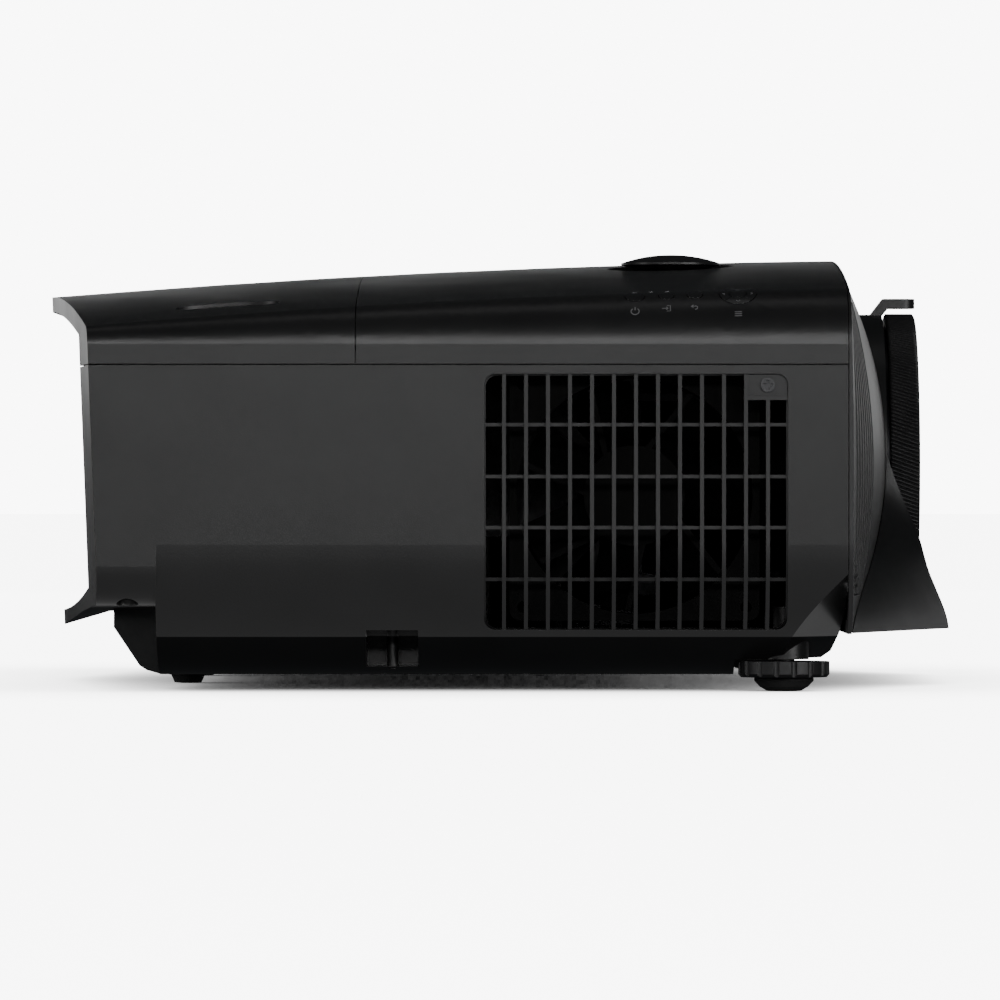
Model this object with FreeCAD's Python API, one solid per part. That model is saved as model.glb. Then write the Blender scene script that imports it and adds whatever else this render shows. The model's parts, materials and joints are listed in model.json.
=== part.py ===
import FreeCAD, Part
import math
import os

from FreeCAD import Placement, Rotation, Vector

# A home-cinema projector, in millimetres.
# +X is the way the lens points, +Y is the projector's left seen from behind, +Z is up.
# The origin is on the floor, under the middle of the whole object.

# ---------------------------------------------------------------- driving dimensions
HALF_WIDTH = 246.5          # half of the body's width
FRONT_X = 129.0             # where the covers stop and the fascia starts
SEAM_Z = 120.0              # joint line between the lower case and the covers
SEAM_GAP = 0.4
LIP_LOW_Z = 117.2           # the case's inner lip runs from here up past the seam
COVER_SPLIT_X = -51.4       # joint line between the two top covers
WALL = 2.5

CROWN_PEAK_X = 180.0        # the top line is one long arc, highest in front of the lens
CROWN_PEAK_Z = 164.3
CROWN_LENGTH_RADIUS = 4320.0
CROWN_CROSS_RADIUS = 1667.0
SHOULDER_Z = 127.5          # where the shoulder arcs run into the upright sides

HULL_BOTTOM_Z = 5.7
HULL_RADIUS = 48.3          # the big under-curve of the sides
FOOT_STEP_X = 88.0          # in front of this the hull is lifted over the feet
FOOT_STEP_Z = 11.6
HOOD_CORNER_RADIUS = 14.5   # under-curve of the rear hood
HOOD_CORNER_Z = 46.0
LEG_REAR_X = -124.8         # rear face of the deep body beside its narrower middle

REAR_SLOPE = 0.11           # the rear end is a shallow V in plan, rounded in the middle
REAR_APEX_X = -177.5
REAR_APEX_RADIUS = 500.0
REAR_LEAN_DEG = 2.2
RECESS_HALF_WIDTH = 197.0   # the connector recess in the rear end
REAR_PANEL_X = -141.0

LENS_Z = 84.6
BARREL_RADIUS = 42.4        # the barrel behind its front bearing
ZOOM_RING_RADIUS = 58.9
FOCUS_RING_RADIUS = 59.2
WELL_RADIUS = 62.6          # room round the lens for the lens shift
WELL_Z = LENS_Z + 1.5
WELL_SHIFT_Y = 2.4
RUN_CLEARANCE = 0.06        # radial clearance of a running fit

DOME_EDGE_X = 130.0
DOME_RISE = 22.0
DOME_MIDDLE_Z = 88.0
CHIN_BOTTOM_Z = 21.1
CASE_LIP_Z = 28.7           # the case's lower front edge

GRILLE_START_X = -4.35
GRILLE_PITCH = 8.05
GRILLE_OPENING = 6.59
GRILLE_COLUMNS = 14
GRILLE_LOW_Z = 22.8
GRILLE_HIGH_Z = 116.5
GRILLE_END_X = GRILLE_START_X + GRILLE_PITCH * (GRILLE_COLUMNS - 1) + GRILLE_OPENING
CROSS_BAR_HEIGHTS = (98.0, 79.0, 60.3, 41.3)

KNOB_X = 66.6
KNOB_Y = -110.0
KNOB_RADIUS = 18.95
KNOB_TOP_Z = 163.9
STICK_PIVOT_Z = 130.0
DISH_RADIUS = 24.5
DISH_FLOOR_Z = 154.4

KEY_ANGLE = 24.0            # how far down the right shoulder the keys sit, in degrees
NAV_X = 88.8
NAV_OUTER_RADIUS = 6.75
NAV_INNER_RADIUS = 3.4
KEY_GAP = 0.2

FOOT_X = 106.4
FOOT_Y = 215.0
FOOT_BOSS_TOP_Z = 20.6
STUD_RADIUS = 4.0
REAR_FOOT_X = -119.0
REAR_FOOT_Y = 70.0

LIGHT_Y = 110.0             # first leg of the light path, along +X
PRISM_X = 10.0              # second leg, along -Y, down to the prism
LAMP_FRONT_X = -68.0
FAN_X = 51.0
FAN_Z = 72.0
FAN_SIZE = 92.0
BLOWER_CENTRE = (-37.0, 168.0)

MOUNT_SPACING_X = 130.0     # ceiling-mount inserts
MOUNT_SPACING_Y = 200.0
MOUNT_MIDDLE_X = -30.0
BOARD_Z = 40.0
BOARD_POSTS = ((-120, -170), (-120, 60), (-30, -170), (-30, 60), (-75, -60))


# ---------------------------------------------------------------- shape helpers
def box(x0, x1, y0, y1, z0, z1):
    return Part.makeBox(x1 - x0, y1 - y0, z1 - z0, Vector(x0, y0, z0))


def place(axis, along, first, second):
    """A point from its place along an axis and its two other coordinates, in X, Y, Z order."""
    if axis == "X":
        return Vector(along, first, second)
    if axis == "Y":
        return Vector(first, along, second)
    return Vector(first, second, along)


def rod(axis, centre, radius, start, stop):
    direction = place(axis, 1, 0, 0)
    return Part.makeCylinder(radius, stop - start, place(axis, start, *centre), direction)


def tube(axis, centre, outer, inner, start, stop):
    return rod(axis, centre, outer, start, stop).cut(rod(axis, centre, inner, start - 1, stop + 1))


def cone(axis, centre, start_radius, stop_radius, start, stop):
    direction = place(axis, 1, 0, 0)
    return Part.makeCone(start_radius, stop_radius, stop - start, place(axis, start, *centre), direction)


def prism(axis, outline, start, stop):
    """A straight prism along an axis, from an outline of two-coordinate points."""
    points = [place(axis, start, *point) for point in outline]
    face = Part.Face(Part.makePolygon(points + [points[0]]))
    return face.extrude(place(axis, stop - start, 0, 0))


def inset_prism(axis, outline, start, stop, inset):
    if inset == 0:
        return prism(axis, outline, start, stop)
    points = [place(axis, start, *point) for point in outline]
    face = Part.Face(Part.makePolygon(points + [points[0]]))
    smaller = face.makeOffset2D(-inset, 2, False, False)
    return smaller.extrude(place(axis, stop - start, 0, 0))


def rounded_bar(axis, first_range, second_range, radius, start, stop):
    """A bar along an axis with a rectangular section and rounded long edges."""
    low = place(axis, start, first_range[0], second_range[0])
    high = place(axis, stop, first_range[1], second_range[1])
    bar = box(low.x, high.x, low.y, high.y, low.z, high.z)
    direction = place(axis, 1, 0, 0)
    edges = [edge for edge in bar.Edges if abs(edge.tangentAt(edge.FirstParameter).dot(direction)) > 0.99]
    return bar.makeFillet(radius, edges)


def join(shapes):
    first = shapes[0]
    if len(shapes) == 1:
        return first
    return first.multiFuse(shapes[1:]).removeSplitter()


def turn(shape, base, axis, degrees):
    turned = shape.copy()
    turned.rotate(base, axis, degrees)
    return turned


def left_copy(shape):
    return shape.mirror(Vector(0, 0, 0), Vector(0, 1, 0))


def both_sides(shape):
    return [shape, left_copy(shape)]


def revolve_x(profile):
    """A solid of revolution round the lens axis, from (x, radius) points."""
    points = [Vector(x, 0, LENS_Z + radius) for x, radius in profile]
    face = Part.Face(Part.makePolygon(points + [points[0]]))
    return face.revolve(Vector(0, 0, LENS_Z), Vector(1, 0, 0), 360)


def save(name, shapes):
    """Writes one node: one solid, or several separate ones as a group."""
    solids = []
    for shape in shapes if isinstance(shapes, list) else [shapes]:
        solids.extend(shape.Solids)
    node = solids[0] if len(solids) == 1 else Part.makeCompound(solids)
    node.exportStep("parts/" + name + ".step")


# ---------------------------------------------------------------- outer shape
def crown_height(x):
    return CROWN_PEAK_Z - (CROWN_PEAK_X - x) ** 2 / (2 * CROWN_LENGTH_RADIUS)


def shoulder_circle(x, inset=0.0):
    """Centre (y, z) and radius of the left shoulder arc, tangent to the crown and to the side."""
    half = HALF_WIDTH - inset
    radius = CROWN_CROSS_RADIUS - inset
    crown_centre = crown_height(x) - CROWN_CROSS_RADIUS
    rise = SHOULDER_Z - crown_centre
    shoulder = (radius ** 2 - half ** 2 - rise ** 2) / (2 * (radius - half))
    return half - shoulder, SHOULDER_Z, shoulder


def skin_edges(x, inset):
    """Edges of the upper cross-section, from the right side over the crown to the left side."""
    centre_y, centre_z, shoulder = shoulder_circle(x, inset)
    crown_centre = Vector(x, 0, crown_height(x) - CROWN_CROSS_RADIUS)
    outward = Vector(0, centre_y, centre_z - crown_centre.z).normalize()
    middle = (outward + Vector(0, 1, 0)).normalize()
    centre = Vector(x, centre_y, centre_z)
    left_side = centre + Vector(0, shoulder, 0)
    left_middle = centre + middle * shoulder
    left_top = centre + outward * shoulder
    top = crown_centre + Vector(0, 0, CROWN_CROSS_RADIUS - inset)

    def right(point):
        return Vector(point.x, -point.y, point.z)

    return [
        Part.Arc(right(left_side), right(left_middle), right(left_top)).toShape(),
        Part.Arc(right(left_top), top, left_top).toShape(),
        Part.Arc(left_top, left_middle, left_side).toShape(),
    ], left_side


def upper_wire(x, inset, base_z):
    arcs, side = skin_edges(x, inset)
    right_side = Vector(x, -side.y, side.z)
    left_base = Vector(x, side.y, base_z)
    right_base = Vector(x, -side.y, base_z)
    lines = [
        Part.makeLine(side, left_base),
        Part.makeLine(left_base, right_base),
        Part.makeLine(right_base, right_side),
    ]
    return Part.Wire(arcs + lines)


def upper_hull(inset, base_z=100.0, rear_x=-185.0, front_x=FRONT_X):
    stations = [rear_x, rear_x + (front_x - rear_x) / 3, rear_x + (front_x - rear_x) * 2 / 3, front_x]
    return Part.makeLoft([upper_wire(x, inset, base_z) for x in stations], True, False)


def under_arcs(x, half, radius, corner_z, bottom_z, middle_z=None):
    """Edges of a lower cross-section: left corner arc, bottom and right corner arc."""
    diagonal = radius * math.sqrt(0.5)
    inner_y = half - radius
    left = [
        Vector(x, half, corner_z),
        Vector(x, inner_y + diagonal, corner_z - diagonal),
        Vector(x, inner_y, bottom_z),
    ]
    right = [Vector(point.x, -point.y, point.z) for point in left]
    if middle_z is None:
        bottom = Part.makeLine(left[2], right[2])
    else:
        bottom = Part.Arc(left[2], Vector(x, 0, middle_z), right[2]).toShape()
    arcs = [Part.Arc(*left).toShape(), bottom, Part.Arc(*reversed(right)).toShape()]
    return arcs, left[0], right[0]


def lower_wire(x, half, radius, corner_z, bottom_z, middle_z, top_z):
    arcs, left, right = under_arcs(x, half, radius, corner_z, bottom_z, middle_z)
    left_top = Vector(x, half, top_z)
    right_top = Vector(x, -half, top_z)
    lines = [Part.makeLine(right, right_top), Part.makeLine(right_top, left_top), Part.makeLine(left_top, left)]
    return Part.Wire(arcs + lines)


def deep_hull(inset, front_x, top_z):
    """The lower body with the big under-curve, its rear leg and its lifted front."""
    section = lower_wire(-200.0, HALF_WIDTH - inset, HULL_RADIUS - inset,
                         HULL_BOTTOM_Z + HULL_RADIUS, HULL_BOTTOM_Z + inset, None, top_z)
    body = Part.Face(section).extrude(Vector(400, 0, 0))
    nose = 0.0 if inset == 0 else 20.0
    profile = [
        (-143.5, top_z + 20), (-143.5, 22.7), (-133.0, 8.6), (-130.0, 7.0), (-124.0, HULL_BOTTOM_Z),
        (FOOT_STEP_X, HULL_BOTTOM_Z), (FOOT_STEP_X, FOOT_STEP_Z), (120.8, FOOT_STEP_Z + 0.3),
        (124.5, 14.4), (127.2, 20.8), (front_x, CASE_LIP_Z), (front_x + nose, CASE_LIP_Z),
        (front_x + nose, top_z + 20),
    ]
    side_y = -HALF_WIDTH - 1
    right = [(-143.5, -165.0), (LEG_REAR_X, -198.0), (LEG_REAR_X, side_y), (front_x + nose, side_y)]
    plan = right + [(x, -y) for x, y in reversed(right)]
    body = body.common(inset_prism("Y", profile, -300.0, 300.0, inset))
    return body.common(inset_prism("Z", plan, -10.0, 200.0, inset))


def hood_hull(inset, top_z):
    """The shallower body of the rear hood, whose underside drops towards the rear."""
    half = HALF_WIDTH - inset
    radius = HOOD_CORNER_RADIUS - inset
    edge_z = HOOD_CORNER_Z - HOOD_CORNER_RADIUS + inset
    front_x = LEG_REAR_X + 0.4 if inset == 0 else -115.0
    wires = []
    for x, middle_z in ((-185.0, 17.0), (-151.0, 27.0), (front_x, 28.0)):
        wires.append(lower_wire(x, half, radius, HOOD_CORNER_Z, edge_z, middle_z + inset, top_z))
    return Part.makeLoft(wires, True, True)


def rear_bow(shift):
    """Everything in front of the bowed, leaning rear end, moved forward by shift."""
    angle = math.atan(REAR_SLOPE)
    tangent_y = REAR_APEX_RADIUS * math.sin(angle)
    tangent_x = REAR_APEX_X + REAR_SLOPE * tangent_y
    apex_x = tangent_x - REAR_APEX_RADIUS * (1 - math.cos(angle))
    wide = 270.0
    wide_x = REAR_APEX_X + REAR_SLOPE * wide
    low = -40.0
    right = Vector(tangent_x, -tangent_y, low)
    left = Vector(tangent_x, tangent_y, low)
    corners = [Vector(x, y, low) for x, y in ((wide_x, wide), (300, wide), (300, -wide), (wide_x, -wide))]
    edges = [Part.Arc(right, Vector(apex_x, 0, low), left).toShape(), Part.makeLine(left, corners[0])]
    edges += [Part.makeLine(start, stop) for start, stop in zip(corners, corners[1:])]
    edges.append(Part.makeLine(corners[3], right))
    solid = Part.Face(Part.Wire(edges)).extrude(Vector(0, 0, 260))
    solid = turn(solid, Vector(apex_x, 0, 150), Vector(0, 1, 0), -REAR_LEAN_DEG)
    solid.translate(Vector(shift, 0, 0))
    return solid


def corner_facet(inset):
    """Half-space block outside the slanted facet of the right front lower corner."""
    corner = Vector(128.6, -244.5, 42.6)
    across = Vector(107.6, -233.0, 19.2) - corner
    inward = Vector(124.0, -190.0, 11.9) - corner
    outward = across.cross(inward).normalize()
    block = Part.makeBox(200, 200, 60, Vector(-100, -100, 0))
    block.Placement = Placement(corner - outward * inset, Rotation(Vector(0, 0, 1), outward))
    return block


def front_room(inset):
    """The space inside the deep body and above it, at a depth below the skin."""
    return deep_hull(inset, FRONT_X, 200.0).cut(both_sides(corner_facet(inset)))


def lower_hull(inset, top_z, front_x=FRONT_X):
    body = deep_hull(inset, front_x, top_z).fuse(hood_hull(inset, top_z)).removeSplitter()
    return body.cut(both_sides(corner_facet(inset)))


def recess_block(grow, start_x, stop_x):
    """The connector recess: a wide opening with bowed top and bottom edges."""
    half = RECESS_HALF_WIDTH + grow
    top_side, top_middle = 131.8 + grow, 144.1 + grow
    low_side, low_middle = 37.9 - grow, 27.4 - grow
    edges = [
        Part.Arc(Vector(start_x, half, top_side), Vector(start_x, 0, top_middle),
                 Vector(start_x, -half, top_side)).toShape(),
        Part.makeLine(Vector(start_x, -half, top_side), Vector(start_x, -half, low_side)),
        Part.Arc(Vector(start_x, -half, low_side), Vector(start_x, 0, low_middle),
                 Vector(start_x, half, low_side)).toShape(),
        Part.makeLine(Vector(start_x, half, low_side), Vector(start_x, half, top_side)),
    ]
    return Part.Face(Part.Wire(edges)).extrude(Vector(stop_x - start_x, 0, 0))


# ---------------------------------------------------------------- covers and case
def side_lips(low_z, high_z, start_x, stop_x, outer_inset, inner_inset):
    """Thin strips just inside the upright sides."""
    strip = box(start_x, stop_x, HALF_WIDTH - inner_inset, HALF_WIDTH - outer_inset, low_z, high_z)
    return both_sides(strip)


def window_bar(grow, start_y, stop_y):
    return rounded_bar("Y", (GRILLE_START_X - grow, GRILLE_END_X + grow),
                       (GRILLE_LOW_Z - grow, GRILLE_HIGH_Z + grow), 4.0, start_y, stop_y)


def strap_pocket():
    """The tub behind the strap and lock pocket on the right side, and the space inside it."""
    tub = box(-50.3, -26.1, -246.0, -200.0, 6.5, 25.1)
    hollow = box(-47.8, -28.6, -260.0, -202.5, 9.0, 22.6)
    bar = rod("Z", (-38.2, -212.0), 2.0, 8.0, 24.0)
    return tub, hollow, bar


def make_lower_case():
    low_top = SEAM_Z - SEAM_GAP / 2
    skin = lower_hull(0.0, low_top).common(rear_bow(0.0))
    cavity = lower_hull(WALL, low_top + 10, FRONT_X).common(rear_bow(3.0))
    cavity = cavity.cut(recess_block(WALL, -200.0, REAR_PANEL_X + 3.0))
    case = skin.cut(cavity).cut(recess_block(0.0, -200.0, REAR_PANEL_X + 4.0))

    tub, hollow, bar = strap_pocket()
    tub = tub.common(skin)
    stubs = []
    for x, y in BOARD_POSTS:
        stubs.append(tube("Z", (x, y), 4.0, 1.4, HULL_BOTTOM_Z + 1, BOARD_Z))
    for x, y in ((-50, 95), (25, 125), (25, -20), (-4, -20)):
        stubs.append(tube("Z", (x, y), 5.0, 1.6, HULL_BOTTOM_Z + 1, 56.0))
    for y in (-60.0, 60.0):
        stubs.append(box(30.0, 46.0, y - 8, y + 8, HULL_BOTTOM_Z + 1, 22.0))
    for x, y in mount_places():
        stubs.append(rod("Z", (x, y), 7.0, HULL_BOTTOM_Z, 19.0))
    for y in (-FOOT_Y, FOOT_Y):
        stubs.append(rod("Z", (FOOT_X, y), 9.2, FOOT_STEP_Z, FOOT_BOSS_TOP_Z))
    for side in (-1, 1):
        rib = box(97.7, 101.3, 236.0, 242.2, 110.5, low_top)
        root = box(97.7, 101.3, 241.0, 244.5, 117.2, low_top)
        boss = rod("Y", (99.5, 112.5), 3.2, 230.0, 242.2)
        for piece in (rib, root, boss):
            stubs.append(piece if side > 0 else left_copy(piece))
    stubs += side_lips(LIP_LOW_Z, low_top, -136.0, 120.0, WALL - 0.1, 4.2)
    stubs += side_lips(low_top - 1, 125.0, -136.0, 120.0, WALL + 0.25, 4.2)
    case = join([case, tub] + stubs)

    tools = [hollow]
    for window in both_sides(window_bar(0.0, -260.0, -221.0)):
        tools.append(window)
    for side in (-1, 1):
        tools.append(rod("Z", (-135.3, side * 236.5), 4.0, 20.0, 38.5))
        tools.append(rod("Z", (FOOT_X, side * FOOT_Y), 8.0, 5.0, FOOT_BOSS_TOP_Z + 1))
        tools.append(rod("Y", (99.5, 112.5), 1.3, *((-243.0, -231.0) if side < 0 else (231.0, 243.0))))
    tools.append(rod("X", (0, LENS_Z), 56.0, 100.0, FRONT_X + 2))
    for x, y in mount_places():
        tools.append(rod("Z", (x, y), 4.0, 5.0, 17.0))
    for x, y in screw_places():
        tools.append(rod("Z", (x, y), 1.7, 0.0, 12.0))
        tools.append(rod("Z", (x, y), 3.6, 0.0, HULL_BOTTOM_Z + 1.4))
    return join([case.cut(tools), bar])


def mount_places():
    return [(MOUNT_MIDDLE_X + sx * MOUNT_SPACING_X / 2, sy * MOUNT_SPACING_Y / 2)
            for sx in (-1, 1) for sy in (-1, 1)]


def screw_places():
    return [(x, y) for x in (-110.0, 70.0) for y in (-180.0, 180.0)]


def finger_recess():
    """Oval prism for the finger recess of the service cover, on the right shoulder."""
    oval = Part.Ellipse(Vector(-99.5, -205.0, 100.0), 19.4, 9.5)
    face = Part.Face(Part.Wire(oval.toShape()))
    return face.extrude(Vector(0, 0, 100))


def make_service_cover():
    base = SEAM_Z + SEAM_GAP / 2
    low_side = box(-200.0, COVER_SPLIT_X - SEAM_GAP / 2, -300, 300, base, 200)
    skin = upper_hull(0.0).common(rear_bow(0.0)).common(low_side)
    cavity = upper_hull(WALL).common(rear_bow(3.0)).cut(recess_block(WALL, -200.0, REAR_PANEL_X + 3.0))
    cover = skin.cut(cavity).cut(recess_block(0.0, -200.0, REAR_PANEL_X + 4.0))
    dish = finger_recess()
    pads = [piece.common(upper_hull(WALL - 0.1).cut(upper_hull(WALL + 1.4)))
            for piece in both_sides(finger_recess().common(box(-119, -80, -214, -196, 100, 200)))]
    cover = join([cover] + pads)
    dents = [piece.cut(upper_hull(1.4)) for piece in both_sides(dish)]
    return cover.cut(dents)


def make_front_cover():
    base = SEAM_Z + SEAM_GAP / 2
    zone = box(COVER_SPLIT_X + SEAM_GAP / 2, FRONT_X, -300, 300, base, 200)
    inner = upper_hull(WALL)
    cover = upper_hull(0.0).common(zone).cut(inner)
    deep = upper_hull(WALL + 2.0)
    root = upper_hull(WALL - 0.1).cut(deep).common(box(COVER_SPLIT_X + 0.2, -44.0, -300, 300, 127.0, 200))
    tongue = upper_hull(WALL + 0.3).cut(deep).common(box(-58.0, COVER_SPLIT_X + 0.3, -300, 300, 127.0, 200))
    cup = rod("Z", (KNOB_X, KNOB_Y), DISH_RADIUS + 2.0, DISH_FLOOR_Z - 2.0, 170.0).common(upper_hull(0.5))
    cover = join([cover, root, tongue, cup])
    tools = [
        rod("Z", (KNOB_X, KNOB_Y), DISH_RADIUS, DISH_FLOOR_Z, 170.0),
        rod("Z", (KNOB_X, KNOB_Y), 9.0, 140.0, 170.0),
    ]
    for x, radius in KEY_PLACES.values():
        tools.append(key_rod(x, radius + KEY_GAP))
    tools.append(key_rod(NAV_X, NAV_OUTER_RADIUS + KEY_GAP))
    for x in LIGHT_PLACES:
        tools.append(key_rod(x, 0.9, KEY_ANGLE - 22.0))
    return cover.cut(tools)


# ---------------------------------------------------------------- keys
KEY_PLACES = {"power_key": (51.0, 3.6), "source_key": (62.5, 2.8), "back_key": (73.0, 2.8)}
LIGHT_PLACES = (51.0, 57.0, 63.0)


def key_frame(x, angle=KEY_ANGLE):
    """Place on the right shoulder and the outward normal there."""
    centre_y, centre_z, radius = shoulder_circle(x)
    lean = math.radians(angle)
    normal = Vector(0, -math.sin(lean), math.cos(lean))
    return Vector(x, -centre_y, centre_z) + normal * radius, normal


def key_rod(x, radius, angle=KEY_ANGLE):
    place_on_skin, normal = key_frame(x, angle)
    return Part.makeCylinder(radius, 14.0, place_on_skin - normal * 8.0, normal)


def key_layer(proud, depth):
    """The layer of space that holds the keys, from a little proud of the skin to below it."""
    zone = box(30.0, 120.0, -250.0, -190.0, 125.0, 170.0)
    return upper_hull(-proud).cut(upper_hull(depth)).common(zone)


def make_keys():
    layer = key_layer(0.25, 4.5)
    keys = {name: key_rod(x, radius).common(layer) for name, (x, radius) in KEY_PLACES.items()}
    middle, normal = key_frame(NAV_X)
    ring = key_rod(NAV_X, NAV_OUTER_RADIUS).cut(key_rod(NAV_X, NAV_INNER_RADIUS)).common(layer)
    keys["ok_key"] = key_rod(NAV_X, NAV_INNER_RADIUS - 2 * KEY_GAP).common(layer)
    saws = []
    for angle in (45.0, 135.0):
        saw = Part.makeBox(20.0, 2 * KEY_GAP, 20.0, Vector(-10.0, -KEY_GAP, -10.0))
        saw.rotate(Vector(0, 0, 0), Vector(0, 0, 1), angle)
        saw.Placement = Placement(middle, Rotation(Vector(0, 0, 1), normal)).multiply(saw.Placement)
        saws.append(saw)
    quarters = ring.cut(saws).Solids
    across = Vector(1, 0, 0)
    up_slope = normal.cross(across)
    ways = {"right_key": across, "left_key": across * -1, "up_key": up_slope, "down_key": up_slope * -1}
    for name, way in ways.items():
        keys[name] = max(quarters, key=lambda solid, way=way: (solid.CenterOfMass - middle).dot(way))
    return keys


def make_indicator_lights():
    layer = key_layer(0.1, 5.0)
    return [key_rod(x, 0.85, KEY_ANGLE - 22.0).common(layer) for x in LIGHT_PLACES]


# ---------------------------------------------------------------- fascia
def front_outline(inset, start_x, stop_x):
    """The front view of the body above the chin line, as a prism along X."""
    arcs, side = skin_edges(FRONT_X, inset)
    half = HALF_WIDTH - inset
    radius = HULL_RADIUS - inset
    corner_z = HULL_BOTTOM_Z + HULL_RADIUS
    low_z = CHIN_BOTTOM_Z + inset
    centre_y = half - radius

    def corner(height):
        return Vector(FRONT_X, centre_y + math.sqrt(radius ** 2 - (corner_z - height) ** 2), height)

    def right(point):
        return Vector(point.x, -point.y, point.z)

    start, middle, stop = Vector(FRONT_X, half, corner_z), corner((corner_z + low_z) / 2), corner(low_z)
    edges = arcs + [
        Part.makeLine(side, start),
        Part.Arc(start, middle, stop).toShape(),
        Part.makeLine(stop, right(stop)),
        Part.Arc(right(stop), right(middle), right(start)).toShape(),
        Part.makeLine(right(start), right(side)),
    ]
    solid = Part.Face(Part.Wire(edges)).extrude(Vector(stop_x - start_x, 0, 0))
    solid.translate(Vector(start_x - FRONT_X, 0, 0))
    return solid


def make_dome():
    """The domed block whose front is the fascia's face."""
    wires = []
    for y in (-HALF_WIDTH - 4, -178.0, -90.0, 0.0, 90.0, 178.0, HALF_WIDTH + 4):
        fade = 1 - (y / (HALF_WIDTH + 4)) ** 2
        top_z = crown_height(FRONT_X) - y ** 2 / (2 * CROWN_CROSS_RADIUS)
        top = Vector(DOME_EDGE_X, y, top_z + 0.5)
        bottom = Vector(DOME_EDGE_X + 5 * fade, y, CHIN_BOTTOM_Z - 1)
        middle = Vector(DOME_EDGE_X + 0.3 + DOME_RISE * fade, y, DOME_MIDDLE_Z)
        back_low = Vector(90, y, CHIN_BOTTOM_Z - 1)
        back_high = Vector(90, y, top_z + 0.5)
        wires.append(Part.Wire([
            Part.Arc(bottom, middle, top).toShape(),
            Part.makeLine(top, back_high),
            Part.makeLine(back_high, back_low),
            Part.makeLine(back_low, bottom),
        ]))
    return Part.makeLoft(wires, True, False)


def moved(shape, x):
    copy = shape.copy()
    copy.translate(Vector(x, 0, 0))
    return copy


def lens_well(grow, start_x, stop_x):
    """The oval tunnel that leaves the lens room to shift."""
    radius = WELL_RADIUS + grow
    ends = [rod("X", (side * WELL_SHIFT_Y, WELL_Z), radius, start_x, stop_x) for side in (-1, 1)]
    middle = box(start_x, stop_x, -WELL_SHIFT_Y, WELL_SHIFT_Y, WELL_Z - radius, WELL_Z + radius)
    return join(ends + [middle])


def vent_window(grow):
    """The space of the right front vent: a tall opening with a curved inner edge."""
    reach = 150.0 - grow
    inner_y = -178.0
    keep_out = rod("X", (inner_y + 150.0, DOME_MIDDLE_Z), reach, 80.0, 190.0)
    zone = box(80.0, 190.0, -300.0, inner_y + grow, 35.0 - grow, 144.0 + grow)
    return front_outline(5.6 - grow, 80.0, 190.0).common(zone).cut(keep_out)


def make_fascia(dome):
    outer = dome.common(front_outline(0.0, FRONT_X + 0.3, 190.0))
    plug = front_outline(WALL + 0.3, FRONT_X - 7.0, FRONT_X + 1.0).common(front_room(WALL + 0.3))
    plug = plug.common(box(100.0, 190.0, -300.0, 300.0, CASE_LIP_Z + 0.3, 200.0))
    inner = moved(dome, -WALL).common(front_outline(2 * WALL, 100.0, 190.0))
    fascia = join([outer, plug]).cut(inner)
    tools = [lens_well(0.0, 100.0, 190.0)] + both_sides(vent_window(0.0))
    tools.append(rounded_bar("X", (140.0, 158.0), (86.0, 94.0), 3.0, 100.0, 190.0))
    return fascia.cut(tools)


def make_remote_window(dome):
    bar = rounded_bar("X", (140.2, 157.8), (86.2, 93.8), 2.8, 100.0, 190.0)
    return bar.common(moved(dome, -0.3)).cut(moved(dome, -2.4))


def make_front_grille(dome):
    """Upright slats across the right front vent, one tie bar and a flange behind the fascia."""
    window = vent_window(-0.25)
    front = moved(dome, -0.3)
    back = moved(dome, -7.0)
    slats = [box(80.0, 190.0, y - 1.4, y + 1.4, 20.0, 150.0) for y in range(-238, -178, 8)]
    tie = box(80.0, 190.0, -250.0, -170.0, 85.0, 87.0).common(moved(dome, -2.5))
    bars = join(slats).common(front).fuse(tie).cut(back).common(window)
    layer = moved(dome, -WALL - 0.2).cut(moved(dome, -WALL - 4.0))
    flange_zone = vent_window(3.0).cut(vent_window(-0.4))
    flange = layer.common(flange_zone)
    ends = join(slats).common(layer).common(vent_window(2.0))
    room = front_outline(2 * WALL + 0.2, 80.0, 190.0).common(front_room(2 * WALL + 0.2))
    return join([bars, flange, ends]).common(room)


CHIN_SECTIONS = (   # height, half-width behind, front x, half-width in front
    (21.1, 253.0, 174.0, 88.0),
    (35.0, 215.0, 170.0, 81.0),
    (50.0, 150.0, 165.0, 75.0),
    (62.0, 98.0, 161.0, 70.5),
    (75.0, 74.0, 155.6, 68.5),
    (92.0, 67.5, 150.0, 67.5),
)
CHIN_BACK_X = 118.0


def chin_block(inset):
    wires = []
    for height, back_half, front_x, front_half in CHIN_SECTIONS:
        level = height
        if inset and height == CHIN_SECTIONS[0][0]:
            level = height + inset
        back, front = back_half - 1.6 * inset, front_half - inset
        corners = [
            Vector(CHIN_BACK_X, -back, level), Vector(front_x - inset, -front, level),
            Vector(front_x - inset, front, level), Vector(CHIN_BACK_X, back, level),
        ]
        wires.append(Part.makePolygon(corners + [corners[0]]))
    return Part.makeLoft(wires, True, False)


def make_lens_surround(dome):
    """The chin under the lens: a scoop that rises to a thin edge beside the lens."""
    chin = chin_block(0.0).cut([moved(dome, 0.25), lens_well(0.0, 100.0, 190.0)])
    chin = chin.common(box(100, 190, -218, 218, 0, 92.0))
    hollow = chin_block(WALL).cut(lens_well(WALL, 100.0, 190.0)).common(box(100, 190, -300, 300, 0, 84.0))
    return chin.cut(hollow)


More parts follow.
